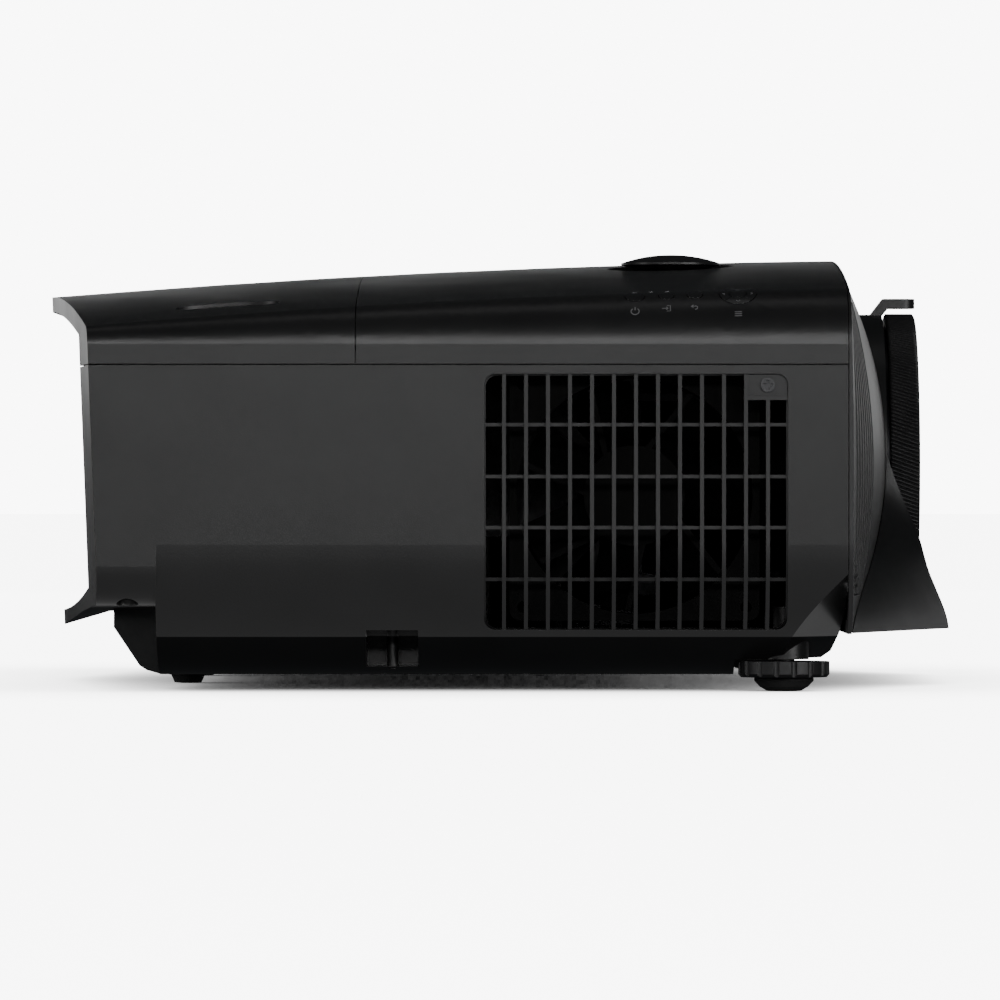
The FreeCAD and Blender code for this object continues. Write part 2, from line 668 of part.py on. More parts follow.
# ---------------------------------------------------------------- side grille
def make_side_grille():
    """Upright bars flush with the right side, set-back cross bars, a flange and a screw tab."""
    skin = lower_hull(0.0, SEAM_Z - 1)
    bars = []
    for column in range(GRILLE_COLUMNS - 1):
        start = GRILLE_START_X + GRILLE_PITCH * column + GRILLE_OPENING
        stop = start + GRILLE_PITCH - GRILLE_OPENING
        top = GRILLE_HIGH_Z + 2 if column < GRILLE_COLUMNS - 2 else 107.8
        bars.append(box(start, stop, -250.0, -200.0, GRILLE_LOW_Z - 2, top))
    tab_x = GRILLE_END_X - 2 * GRILLE_OPENING - 2 * (GRILLE_PITCH - GRILLE_OPENING)
    bars.append(box(tab_x, GRILLE_END_X - 0.1, -250.0, -200.0, 107.0, 108.5))
    back = lower_hull(7.0, SEAM_Z + 10)
    window = window_bar(-0.1, -250.0, -200.0)
    upright = join(bars).common(skin).common(window)
    cross = join([box(GRILLE_START_X, GRILLE_END_X, -250.0, -200.0, z - 0.65, z + 0.65)
                  for z in CROSS_BAR_HEIGHTS])
    cross = cross.common(lower_hull(3.0, SEAM_Z + 10)).common(window)
    below_lip = box(-20.0, 130.0, -250.0, -200.0, 0.0, LIP_LOW_Z - 0.2)
    behind = lower_hull(WALL + 0.1, SEAM_Z + 10).common(window_bar(3.0, -250.0, -200.0)).common(below_lip)
    rim = behind.cut([lower_hull(WALL + 2.6, SEAM_Z + 10), window_bar(-0.6, -260.0, -190.0)])
    ends = join(bars).common(behind).cut(lower_hull(WALL + 2.6, SEAM_Z + 10))
    tab = box(tab_x + 0.5, GRILLE_END_X - 0.1, -250.0, -200.0, 108.0, GRILLE_HIGH_Z - 0.1)
    tab = tab.common(lower_hull(1.2, SEAM_Z + 10)).cut(lower_hull(4.0, SEAM_Z + 10))
    grille = join([upright.cut(back), cross.cut(back), rim, ends, tab])
    rib_notch = box(97.0, 102.0, -245.0, -230.0, 110.0, 121.0)
    rib_notch = rib_notch.cut(box(90.0, 110.0, -250.0, -242.4, 100.0, GRILLE_HIGH_Z))
    return grille.cut([rod("Y", (99.5, 112.5), 1.7, -250.0, -230.0), rib_notch])


def screw(axis_start, direction, head_radius, head_height, shank_radius, shank_length):
    """A cross-head screw; the start point is on top of its head and it points along direction."""
    head = Part.makeCylinder(head_radius, head_height, axis_start, direction)
    shank = Part.makeCylinder(shank_radius, head_height + shank_length, axis_start, direction)
    slots = []
    for angle in (0, 90):
        slot = Part.makeBox(head_radius * 1.3, 1.1, 1.7, Vector(-head_radius * 0.65, -0.55, -0.85))
        slot.rotate(Vector(0, 0, 0), Vector(0, 0, 1), angle)
        slot.Placement = Placement(axis_start, Rotation(Vector(0, 0, 1), direction)).multiply(slot.Placement)
        slots.append(slot)
    return head.fuse(shank).cut(slots)


def make_case_screws():
    side = screw(Vector(99.5, -246.3, 112.5), Vector(0, 1, 0), 2.65, 0.95, 1.2, 12.0)
    bottom = [screw(Vector(x, y, HULL_BOTTOM_Z + 0.2), Vector(0, 0, 1), 3.2, 1.1, 1.5, 9.0)
              for x, y in screw_places()]
    return both_sides(side) + bottom


# ---------------------------------------------------------------- rear panel and sockets
SOCKET_Z = 52.0
INLET_Y = 160.0
INLET_Z = 62.0


def socket_hole(y, width, height, z=SOCKET_Z):
    return box(REAR_PANEL_X - 5, REAR_PANEL_X + 8, y - width / 2, y + width / 2, z - height / 2, z + height / 2)


def make_rear_panel():
    panel = recess_block(-0.5, REAR_PANEL_X, REAR_PANEL_X + 2.4)
    tools = [
        socket_hole(-160, 16.4, 14.0), socket_hole(-130, 14.2, 7.2), socket_hole(-104, 15.8, 6.4),
        socket_hole(-76, 15.8, 6.4), socket_hole(-38, 31.4, 13.0), socket_hole(10, 31.4, 13.0),
        socket_hole(INLET_Y, 28.4, 20.4, INLET_Z),
    ]
    tools += [rod("X", (y, SOCKET_Z), 4.2, REAR_PANEL_X - 5, REAR_PANEL_X + 8) for y in (46.0, 62.0)]
    tools.append(box(REAR_PANEL_X - 5, REAR_PANEL_X + 8, -184.0, -181.0, 48.5, 55.5))
    for row in range(6):
        for column in range(3):
            y = 20.0 + column * 51.0
            low = 88.0 + row * 7.0
            tools.append(box(REAR_PANEL_X - 5, REAR_PANEL_X + 8, y, y + 47.0, low, low + 3.0))
    return panel.cut(tools)


def shell_socket(y, z, outer, wall, depth, tongue):
    """A metal-shelled socket: open at the rear, closed inside, with a contact tongue."""
    width, height = outer
    front = REAR_PANEL_X - 0.6
    shell = box(front, front + depth, y - width / 2, y + width / 2, z - height / 2, z + height / 2)
    hollow = box(front - 1, front + depth - 1.5, y - width / 2 + wall, y + width / 2 - wall,
                 z - height / 2 + wall, z + height / 2 - wall)
    blade = box(front + 1.5, front + depth - 1, y - tongue[0] / 2, y + tongue[0] / 2,
                z + tongue[2] - tongue[1] / 2, z + tongue[2] + tongue[1] / 2)
    return shell.cut(hollow).fuse(blade)


def d_socket(y):
    """A D-shaped connector with its two hex standoffs."""
    front = REAR_PANEL_X - 0.6
    flange = box(front, front + 1.0, y - 15.5, y + 15.5, SOCKET_Z - 6.2, SOCKET_Z + 6.2)
    top, low = SOCKET_Z + 4.0, SOCKET_Z - 4.0
    nose_points = [(y - 8.6, top), (y + 8.6, top), (y + 7.4, low), (y - 7.4, low)]
    nose = prism("X", nose_points, front - 5.0, front + 12.0)
    nuts = []
    for side in (-1, 1):
        corners = [(y + side * 12.5 + 2.4 * math.cos(math.radians(60 * k)),
                    SOCKET_Z + 2.4 * math.sin(math.radians(60 * k))) for k in range(6)]
        nuts.append(prism("X", corners, front - 4.5, front + 6.0))
    return join([flange, nose] + nuts)


def make_video_sockets():
    hdmi = [shell_socket(y, SOCKET_Z, (15.2, 5.8), 0.5, 12.0, (11.0, 1.2, 0.4)) for y in (-104.0, -76.0)]
    return hdmi + [d_socket(-38.0)]


def make_control_sockets():
    usb = shell_socket(-130.0, SOCKET_Z, (13.6, 6.6), 0.5, 14.0, (11.2, 1.8, 1.2))
    lan = shell_socket(-160.0, SOCKET_Z, (15.9, 13.5), 1.2, 16.0, (10.0, 1.0, 4.0))
    jacks = []
    for y in (46.0, 62.0):
        collar = tube("X", (y, SOCKET_Z), 4.0, 1.8, REAR_PANEL_X - 1.2, REAR_PANEL_X + 3.5)
        body = box(REAR_PANEL_X + 3.2, REAR_PANEL_X + 15.0, y - 4.5, y + 4.5, SOCKET_Z - 5.0, SOCKET_Z + 5.0)
        jacks.append(collar.fuse(body).cut(rod("X", (y, SOCKET_Z), 1.8, REAR_PANEL_X - 2, REAR_PANEL_X + 13)))
    return [usb, lan, d_socket(10.0)] + jacks


def make_mains_inlet():
    """A three-pin appliance inlet; its flange sits on the rear panel."""
    front = REAR_PANEL_X - 1.6

    def bar(half_width, half_height, radius, start, stop):
        return rounded_bar("X", (INLET_Y - half_width, INLET_Y + half_width),
                           (INLET_Z - half_height, INLET_Z + half_height), radius, start, stop)

    flange = bar(18.0, 12.5, 3.0, front, REAR_PANEL_X - 0.05)
    body = bar(14.0, 10.0, 2.0, front, front + 24.0)
    hollow = bar(12.0, 8.0, 2.0, front - 1, front + 17.0)
    pins = []
    for across, up in ((-7.0, -2.0), (7.0, -2.0), (0.0, 2.0)):
        y, z = INLET_Y + across, INLET_Z + up
        pins.append(box(front + 2.0, front + 20.0, y - 1.0, y + 1.0, z - 2.0, z + 2.0))
    return join([flange, body]).cut(hollow).fuse(pins).removeSplitter()


# ---------------------------------------------------------------- lens
def make_lens_barrel():
    profile = [
        (34, 22), (34, 24), (57, 24), (57, BARREL_RADIUS), (116, BARREL_RADIUS), (116, 54), (136, 54),
        (136, 57.5), (138.4, 57.5), (138.4, 54), (161.0, 54), (161.0, 50), (120, 50), (120, 38),
        (60, 38), (60, 22),
    ]
    return revolve_x(profile)


def make_rear_lens():
    profile = [(36, 0), (37.5, 12), (38.5, 21.9), (46, 21.9), (48, 12), (49, 0)]
    return revolve_x(profile)


def make_zoom_cell():
    """The cell that slides inside the barrel when the zoom ring turns, with its glass."""
    outer = 38 - RUN_CLEARANCE
    ring = revolve_x([(76, 32), (76, outer), (102, outer), (102, 32), (96, 30), (82, 30)])
    return ring


def make_zoom_lens():
    return revolve_x([(84, 0), (85.5, 16), (87.5, 29.9), (91.5, 29.9), (94.5, 16), (96, 0)])


def make_zoom_ring():
    """The smooth ring behind the focus ring, with its bent lever."""
    ring = tube("X", (0, LENS_Z), ZOOM_RING_RADIUS, 54 + RUN_CLEARANCE, 139.0, 151.6)
    lever_points = [(146.8, 142.6), (152.2, 149.6), (164.8, 149.6),
                    (164.8, 145.8), (154.2, 145.8), (151.6, 142.6)]
    lever = prism("Y", lever_points, -8.0, 8.0)
    upright = [edge for edge in lever.Edges
               if abs(edge.tangentAt(edge.FirstParameter).z) > 0.99 and edge.CenterOfMass.x > 160]
    lever = lever.makeFillet(5.0, upright)
    return join([ring, lever])


def make_focus_ring():
    outer = FOCUS_RING_RADIUS
    profile = [
        (152.8, 54 + RUN_CLEARANCE), (152.8, outer - 0.6), (153.4, outer), (163.7, outer), (164.5, outer - 1.0),
        (164.5, 56.5), (161.8, 54 + RUN_CLEARANCE),
    ]
    return revolve_x(profile)


def make_focus_cell():
    outer = 50 - RUN_CLEARANCE
    profile = [(126, 43), (126, outer), (160.5, outer), (160.5, 48.5), (157, 46), (157, 43)]
    return revolve_x(profile)


def make_front_lens():
    """The front element: a deep meniscus bulging out of the cell."""
    profile = [(129, 0), (132, 22), (138, 42.9), (150, 42.9), (155.5, 22), (157.5, 0)]
    outer = revolve_x(profile)
    ball = Part.makeSphere(62.0, Vector(96.5, 0, LENS_Z))
    return outer.common(ball)


# ---------------------------------------------------------------- lens shift
def make_shift_base():
    """The upright plate that carries the lens, with two guide rods."""
    plate = box(36.0, 40.0, -130.0, 76.0, 22.0, 140.0)
    plate = plate.cut([rod("X", (0, LENS_Z), 34.0, 30.0, 50.0), box(30, 50, -131, -84, 21, 98)])
    lugs = []
    for y in (-62.0, 62.0):
        for low in (22.0, 140.5):
            lugs.append(box(36.0, 53.0, y - 7, y + 7, low, low + 6))
    rods = [rod("Z", (47.5, y), 3.0, 22.0, 146.5) for y in (-62.0, 62.0)]
    web = [box(36.0, 40.0, y - 7, y + 7, 138.0, 146.5) for y in (-62.0, 62.0)]
    return join([plate] + lugs + rods + web)


def make_vertical_carriage():
    plate = box(44.5, 50.5, -68.0, 68.0, 36.0, 134.0).cut(rod("X", (0, LENS_Z), 29.0, 30.0, 60.0))
    bosses = [rod("Z", (47.5, y), 5.5, 36.0, 134.0) for y in (-62.0, 62.0)]
    lugs = []
    for y in (-57.0, 57.0):
        for z in (LENS_Z - 47.0, LENS_Z + 45.5):
            lugs.append(box(50.0, 62.0, y - 3, y + 3, z - 4, z + 4))
    rods = [rod("Y", (57.5, z), 2.5, -59.0, 59.0) for z in (LENS_Z - 47.0, LENS_Z + 45.5)]
    body = join([plate] + bosses + lugs + rods)
    bores = [rod("Z", (47.5, y), 3.0 + RUN_CLEARANCE, 30.0, 140.0) for y in (-62.0, 62.0)]
    return body.cut(bores)


def make_horizontal_carriage():
    """The plate that the barrel is bolted to; it slides across on the vertical carriage."""
    plate = box(52.0, 56.6, -46.0, 46.0, LENS_Z - 44.0, LENS_Z + 42.0)
    sleeves = [rod("Y", (57.5, z), 4.5, -40.0, 40.0) for z in (LENS_Z - 47.0, LENS_Z + 45.5)]
    webs = [
        box(52.5, 57.0, -40.0, 40.0, LENS_Z - 47.0, LENS_Z - 40.0),
        box(52.5, 57.0, -40.0, 40.0, LENS_Z + 38.0, LENS_Z + 45.5),
    ]
    bores = [rod("Y", (57.5, z), 2.5 + RUN_CLEARANCE, -50.0, 50.0) for z in (LENS_Z - 47.0, LENS_Z + 45.5)]
    bores.append(rod("X", (0, LENS_Z), 24.1, 30.0, 60.0))
    bores.append(rod("X", (0, LENS_Z), BARREL_RADIUS + 0.4, 56.7, 70.0))
    return join([plate] + sleeves + webs).cut(bores)


def make_joystick_bracket():
    base = box(40.0, 86.0, KNOB_Y - 16, KNOB_Y + 16, 108.0, 111.0)
    ears = [box(x, x + 4.6, KNOB_Y - 8, KNOB_Y + 8, 110.0, 136.0) for x in (48.2, 80.4)]
    bore = rod("X", (KNOB_Y, STICK_PIVOT_Z), 2.5 + RUN_CLEARANCE, 45.0, 90.0)
    return join([base] + ears).cut(bore)


def make_shift_gimbal():
    low, high = STICK_PIVOT_Z - 3.5, STICK_PIVOT_Z + 3.5
    frame = box(54.0, 79.2, KNOB_Y - 12, KNOB_Y + 12, low, high)
    frame = frame.cut(box(58.0, 75.2, KNOB_Y - 7.5, KNOB_Y + 7.5, low - 1, high + 1))
    pins = [rod("X", (KNOB_Y, STICK_PIVOT_Z), 2.5, start, stop) for start, stop in ((48.4, 55.0), (78.2, 84.8))]
    bore = rod("Y", (KNOB_X, STICK_PIVOT_Z), 2.0 + RUN_CLEARANCE, KNOB_Y - 20, KNOB_Y + 20)
    return join([frame] + pins).cut(bore)


def make_shift_stick():
    hub = box(KNOB_X - 5, KNOB_X + 5, KNOB_Y - 6.5, KNOB_Y + 6.5, STICK_PIVOT_Z - 5, STICK_PIVOT_Z + 5)
    pin = rod("Y", (KNOB_X, STICK_PIVOT_Z), 2.0, KNOB_Y - 11.8, KNOB_Y + 11.8)
    stem = rod("Z", (KNOB_X, KNOB_Y), 3.0, STICK_PIVOT_Z, KNOB_TOP_Z - 2.6)
    return join([hub, pin, stem])


def make_shift_knob():
    """A flat round knob: a domed top, a thin upright rim and a cone below."""
    rim_top, rim_low = 160.7, 159.9
    start = Vector(KNOB_X, KNOB_Y, KNOB_TOP_Z)
    rim = Vector(KNOB_X + KNOB_RADIUS, KNOB_Y, rim_top)
    middle = Vector(KNOB_X + KNOB_RADIUS * 0.55, KNOB_Y, KNOB_TOP_Z - 0.9)
    outline = [(KNOB_RADIUS, rim_low), (10.0, 157.4), (5.6, 156.9), (5.6, 155.9), (0.0, 155.9)]
    points = [rim] + [Vector(KNOB_X + radius, KNOB_Y, z) for radius, z in outline] + [start]
    edges = [Part.Arc(start, middle, rim).toShape()]
    edges += [Part.makeLine(a, b) for a, b in zip(points, points[1:])]
    knob = Part.Face(Part.Wire(edges)).revolve(Vector(KNOB_X, KNOB_Y, 0), Vector(0, 0, 1), 360)
    return knob.cut(rod("Z", (KNOB_X, KNOB_Y), 3.0 + RUN_CLEARANCE, 150.0, KNOB_TOP_Z - 2.4))


# ---------------------------------------------------------------- light engine
def make_engine_housing():
    """An L-shaped open-topped casting that holds the optics."""
    outer = join([box(-58.0, 32.0, 86.0, 134.0, 56.0, 113.0), box(-12.0, 32.0, -30.0, 134.0, 56.0, 113.0)])
    inner = join([box(-55.0, 29.0, 89.0, 131.0, 59.0, 120.0), box(-9.0, 29.0, -27.0, 131.0, 59.0, 120.0)])
    ports = [
        rod("X", (LIGHT_Y, LENS_Z), 9.0, -70.0, -50.0),
        rod("X", (0, LENS_Z), 19.0, 20.0, 40.0),
        box(-20.0, 0.0, -12.0, 12.0, LENS_Z - 9, LENS_Z + 9),
    ]
    seats = [
        box(-50.0, -18.0, LIGHT_Y - 5, LIGHT_Y + 5, 58.0, LENS_Z - 4.3),
        box(0.0, 20.0, -8.0, 8.0, 58.0, LENS_Z - 14.3),
    ]
    return join([outer.cut([inner] + ports)] + seats)


def make_light_tunnel():
    outer = box(-50.0, -18.0, LIGHT_Y - 4, LIGHT_Y + 4, LENS_Z - 4, LENS_Z + 4)
    return outer.cut(box(-52.0, -16.0, LIGHT_Y - 2.6, LIGHT_Y + 2.6, LENS_Z - 2.6, LENS_Z + 2.6))


def disc_lens(axis, centre, radius, place_along, thickness, bulge):
    """A convex lens: two spherical caps on a short cylinder."""
    cap_radius = (radius ** 2 + bulge ** 2) / (2 * bulge)
    body = rod(axis, centre, radius, place_along - thickness / 2, place_along + thickness / 2)
    reach = cap_radius - bulge - thickness / 2 + bulge
    for side in (-1, 1):
        ball = Part.makeSphere(cap_radius, place(axis, place_along - side * reach, *centre))
        body = body.common(ball)
    return body


def make_relay_optics():
    """Relay lenses, the fold mirror and the prism, as separate pieces."""
    lenses = [
        disc_lens("X", (LIGHT_Y, LENS_Z), 13.0, -9.0, 7.0, 2.4),
        disc_lens("Y", (PRISM_X, LENS_Z), 14.0, 78.0, 7.0, 2.4),
        disc_lens("Y", (PRISM_X, LENS_Z), 14.0, 48.0, 7.0, 2.4),
    ]
    mirror = Part.makeBox(30.0, 2.0, 30.0, Vector(-15.0, 0.0, -15.0))
    mirror.Placement = Placement(Vector(PRISM_X + 3, LIGHT_Y + 3, LENS_Z), Rotation(Vector(0, 0, 1), -45))
    prism_block = box(-3.0, 20.0, -14.0, 14.0, LENS_Z - 14.0, LENS_Z + 14.0)
    return lenses + [mirror, prism_block]


def make_mirror_board():
    board = box(-16.4, -14.8, -34.0, 34.0, 52.0, 118.0)
    chip = box(-14.8, -12.3, -13.0, 13.0, LENS_Z - 10, LENS_Z + 10)
    window = box(-12.4, -11.6, -9.0, 9.0, LENS_Z - 6, LENS_Z + 6)
    plugs = [box(-20.4, -16.4, y - 10, y + 10, 54.0, 59.0) for y in (-20.0, 20.0)]
    return join([board, chip, window] + plugs)


def make_mirror_heatsink():
    base = box(-21.6, -16.5, -26.0, 26.0, 62.0, 110.0)
    fins = [box(-46.0, -21.0, y, y + 1.4, 62.0, 110.0) for y in [-26.0 + 4.6 * n for n in range(11)] + [24.6]]
    return join([base] + fins)


WHEEL_CENTRE = (82.0, LENS_Z)
WHEEL_X = -63.0


def make_wheel_motor():
    """The colour wheel's motor and the bracket that holds it to the engine housing."""
    motor = rod("X", WHEEL_CENTRE, 9.5, -61.6, -59.2)
    plate = box(-60.2, -58.1, 62.0, 92.0, 66.0, 103.0)
    shaft = rod("X", WHEEL_CENTRE, 1.5, -64.8, -60.0)
    return join([motor, plate, shaft])


def make_color_wheel():
    disc = tube("X", WHEEL_CENTRE, 34.0, 8.0, -63.6, -62.6)
    hub = rod("X", WHEEL_CENTRE, 9.0, -64.8, -61.9)
    wheel = join([disc, hub])
    return wheel.cut(rod("X", WHEEL_CENTRE, 1.5 + RUN_CLEARANCE, -70.0, -60.0))


def make_lamp_module():
    """The lamp's plastic carrier: a box open to the front and rear, with a pull-up handle."""
    outer = box(-134.0, LAMP_FRONT_X, 76.0, 144.0, 46.0, 122.0)
    inner = box(-131.0, LAMP_FRONT_X + 1, 79.0, 141.0, 49.0, 119.0)
    handle = box(-112.0, -90.0, 96.0, 124.0, 121.0, 133.0).cut(box(-120.0, -80.0, 100.0, 120.0, 120.0, 129.5))
    slots = [box(-128.0 + 9 * n, -124.0 + 9 * n, 70.0, 150.0, 60.0, 108.0) for n in range(6)]
    shell = outer.cut([inner] + slots)
    return join([shell, handle])


def make_lamp_reflector():
    """A reflector bowl with the burner along its axis, in one turned piece."""
    outside = [(-78.0, 30.6), (-92.0, 29.3), (-105.0, 26.0), (-116.0, 20.5), (-124.0, 12.0), (-125.0, 6.0),
               (-130.0, 6.0)]
    inside = [(-83.0, 0.0), (-84.0, 2.4), (-98.0, 2.6), (-101.0, 4.6), (-106.0, 5.4), (-111.0, 4.6),
              (-114.0, 2.6), (-120.0, 2.6), (-121.5, 11.0), (-114.0, 18.5), (-104.0, 23.6), (-92.0, 26.8),
              (-78.0, 28.2)]
    bowl = revolve_x([(-130.0, 0.0)] + inside + outside)
    bowl.translate(Vector(0, LIGHT_Y, 0))
    return bowl


# ---------------------------------------------------------------- fans
def make_fan_frames():
    frames = []
    for side in (-1, 1):
        low, high = sorted((side * 203.0, side * 228.0))
        half = FAN_SIZE / 2
        frame = rounded_bar("Y", (FAN_X - half, FAN_X + half), (FAN_Z - half, FAN_Z + half), 4.0, low, high)
        frame = frame.cut(rod("Y", (FAN_X, FAN_Z), 43.5, low - 1, high + 1))
        inner = side * 203.0
        back_low, back_high = sorted((inner, inner + side * 3.0))
        plate = rod("Y", (FAN_X, FAN_Z), 19.0, back_low, back_high)
        arms = []
        for angle in (45, 135):
            arm = Part.makeBox(88.0, 3.0, 5.0, Vector(FAN_X - 44.0, back_low, FAN_Z - 2.5))
            arm.rotate(Vector(FAN_X, 0, FAN_Z), Vector(0, 1, 0), angle)
            arms.append(arm)
        pin_low, pin_high = sorted((inner + side * 1.0, inner + side * 18.0))
        pin = rod("Y", (FAN_X, FAN_Z), 1.5, pin_low, pin_high)
        corners = [rod("Y", (FAN_X + sx * 41.0, FAN_Z + sz * 41.0), 2.1, low - 1, high + 1)
                   for sx in (-1, 1) for sz in (-1, 1)]
        frames.append(join([frame, plate, pin] + arms).cut(corners))
    return frames


def make_fan_rotor(side):
    """A hub with seven pitched blades."""
    inner = side * 203.0
    hub_low, hub_high = sorted((inner + side * 4.0, inner + side * 22.0))
    hub = rod("Y", (FAN_X, FAN_Z), 18.5, hub_low, hub_high)
    sweep = tube("Y", (FAN_X, FAN_Z), 42.4, 17.0, hub_low, hub_high)
    blades = []
    for number in range(7):
        blade = Part.makeBox(30.0, 1.6, 40.0, Vector(15.0, -0.8, -20.0))
        blade.rotate(Vector(0, 0, 0), Vector(1, 0, 0), 52.0)
        blade.rotate(Vector(0, 0, 0), Vector(0, 1, 0), number * 360.0 / 7)
        blade.translate(Vector(FAN_X, (hub_low + hub_high) / 2, FAN_Z))
        blades.append(blade.common(sweep))
    bore = rod("Y", (FAN_X, FAN_Z), 1.5 + RUN_CLEARANCE, *sorted((inner, inner + side * 19.0)))
    return join([hub] + blades).cut(bore)


def make_blower_housing():
    x, y = BLOWER_CENTRE
    shell = join([rod("Z", (x, y), 26.0, 60.0, 84.0), box(x - 26.0, x, y - 26.0, y, 60.0, 84.0)])
    hollow = join([rod("Z", (x, y), 24.0, 62.0, 82.0), box(x - 24.0, x - 6.0, y - 28.0, y, 62.0, 82.0)])
    mouth = rod("Z", (x, y), 17.0, 80.0, 90.0)
    pin = rod("Z", (x, y), 1.5, 61.0, 78.0)
    legs = [rod("Z", (x + 20 * math.cos(angle), y + 20 * math.sin(angle)), 2.5, HULL_BOTTOM_Z + WALL, 60.5)
            for angle in (0.3, 2.4, 4.5)]
    return join([shell.cut([hollow, mouth]), pin] + legs)


def make_blower_impeller():
    x, y = BLOWER_CENTRE
    base = rod("Z", (x, y), 21.0, 63.0, 64.4)
    hub = rod("Z", (x, y), 9.0, 63.0, 79.0)
    vanes = []
    for number in range(18):
        vane = Part.makeBox(6.0, 0.9, 15.6, Vector(14.6, -0.45, 64.0))
        vane.rotate(Vector(14.6, 0, 0), Vector(0, 0, 1), 24.0)
        vane.rotate(Vector(0, 0, 0), Vector(0, 0, 1), number * 20.0)
        vane.translate(Vector(x, y, 0))
        vanes.append(vane)
    return join([base, hub] + vanes).cut(rod("Z", (x, y), 1.5 + RUN_CLEARANCE, 60.0, 78.6))


# ---------------------------------------------------------------- boards
def make_main_board():
    board = box(-126.0, -20.0, -180.0, 68.0, BOARD_Z, BOARD_Z + 1.6)
    board = board.cut([rod("Z", (x, y), 1.6, 30.0, 50.0) for x, y in BOARD_POSTS])
    top = BOARD_Z + 1.5
    chips = [
        box(-90, -62, -40, -12, top, top + 2.6), box(-92, -60, -130, -98, top, top + 9.0),
        box(-56, -40, -90, -70, top, top + 2.0), box(-56, -40, -60, -40, top, top + 2.0),
        box(-110, -96, 10, 24, top, top + 2.0), box(-40, -28, -150, -110, top, top + 6.0),
    ]
    cans = [rod("Z", (-110.0, y), 4.0, top, top + 11.0) for y in (-75.0, -64.0, -53.0)]
    return join([board] + chips + cans)


def make_power_board():
    board = box(-120.0, -68.0, 152.0, 226.0, 34.0, 35.6)
    top = 35.5
    parts = [
        box(-112, -90, 160, 186, top, top + 24.0), box(-84, -72, 160, 180, top, top + 18.0),
        box(-118, -113, 192, 220, top, top + 30.0), box(-84, -76, 186, 222, top, top + 30.0),
    ]
    cans = [rod("Z", (-100.0, y), 8.0, top, top + 32.0) for y in (198.0, 216.0)]
    legs = [rod("Z", (x, y), 3.0, HULL_BOTTOM_Z + WALL, 34.5) for x in (-114.0, -74.0) for y in (158.0, 190.0)]
    return join([board] + parts + cans + legs)


# ---------------------------------------------------------------- feet and fasteners
def make_foot_wheel():
    """The right foot's notched wheel with its threaded stud."""
    wheel = cone("Z", (FOOT_X, -FOOT_Y), 15.9, 16.9, 5.0, 6.2)
    wheel = wheel.fuse(rod("Z", (FOOT_X, -FOOT_Y), 16.9, 6.2, 10.9))
    notches = []
    for number in range(16):
        angle = 2 * math.pi * (number + 0.5) / 16
        centre = (FOOT_X + 17.1 * math.cos(angle), -FOOT_Y + 17.1 * math.sin(angle))
        notches.append(rod("Z", centre, 1.1, 4.0, 12.0))
    stud = rod("Z", (FOOT_X, -FOOT_Y), STUD_RADIUS, 8.0, 31.0)
    pad_bore = rod("Z", (FOOT_X, -FOOT_Y), 3.0 + RUN_CLEARANCE, 4.0, 9.5)
    return join([wheel.cut(notches), stud]).cut(pad_bore)


def make_foot_pad():
    """The right foot's rubber pad: a dome under the wheel, with a short spigot into it."""
    dome = join([
        rod("Z", (FOOT_X, -FOOT_Y), 11.0, 3.6, 4.7),
        cone("Z", (FOOT_X, -FOOT_Y), 8.8, 11.0, 1.3, 3.7),
        cone("Z", (FOOT_X, -FOOT_Y), 6.5, 8.8, 0.0, 1.4),
    ])
    return join([dome, rod("Z", (FOOT_X, -FOOT_Y), 3.0, 4.0, 9.2)])


def make_foot_bush():
    return tube("Z", (FOOT_X, -FOOT_Y), 7.95, STUD_RADIUS + RUN_CLEARANCE, FOOT_STEP_Z + 0.4, 20.0)


def make_rear_feet():
    feet = []
    for y in (-REAR_FOOT_Y, REAR_FOOT_Y):
        pad = rod("Z", (REAR_FOOT_X, y), 7.2, 3.0, HULL_BOTTOM_Z - 0.05)
        tip = cone("Z", (REAR_FOOT_X, y), 5.2, 6.6, 0.0, 3.1)
        feet.append(join([pad, tip]))
    return feet


def make_mount_inserts():
    return [tube("Z", place_xy, 3.95, 2.1, HULL_BOTTOM_Z + 0.1, 16.0) for place_xy in mount_places()]


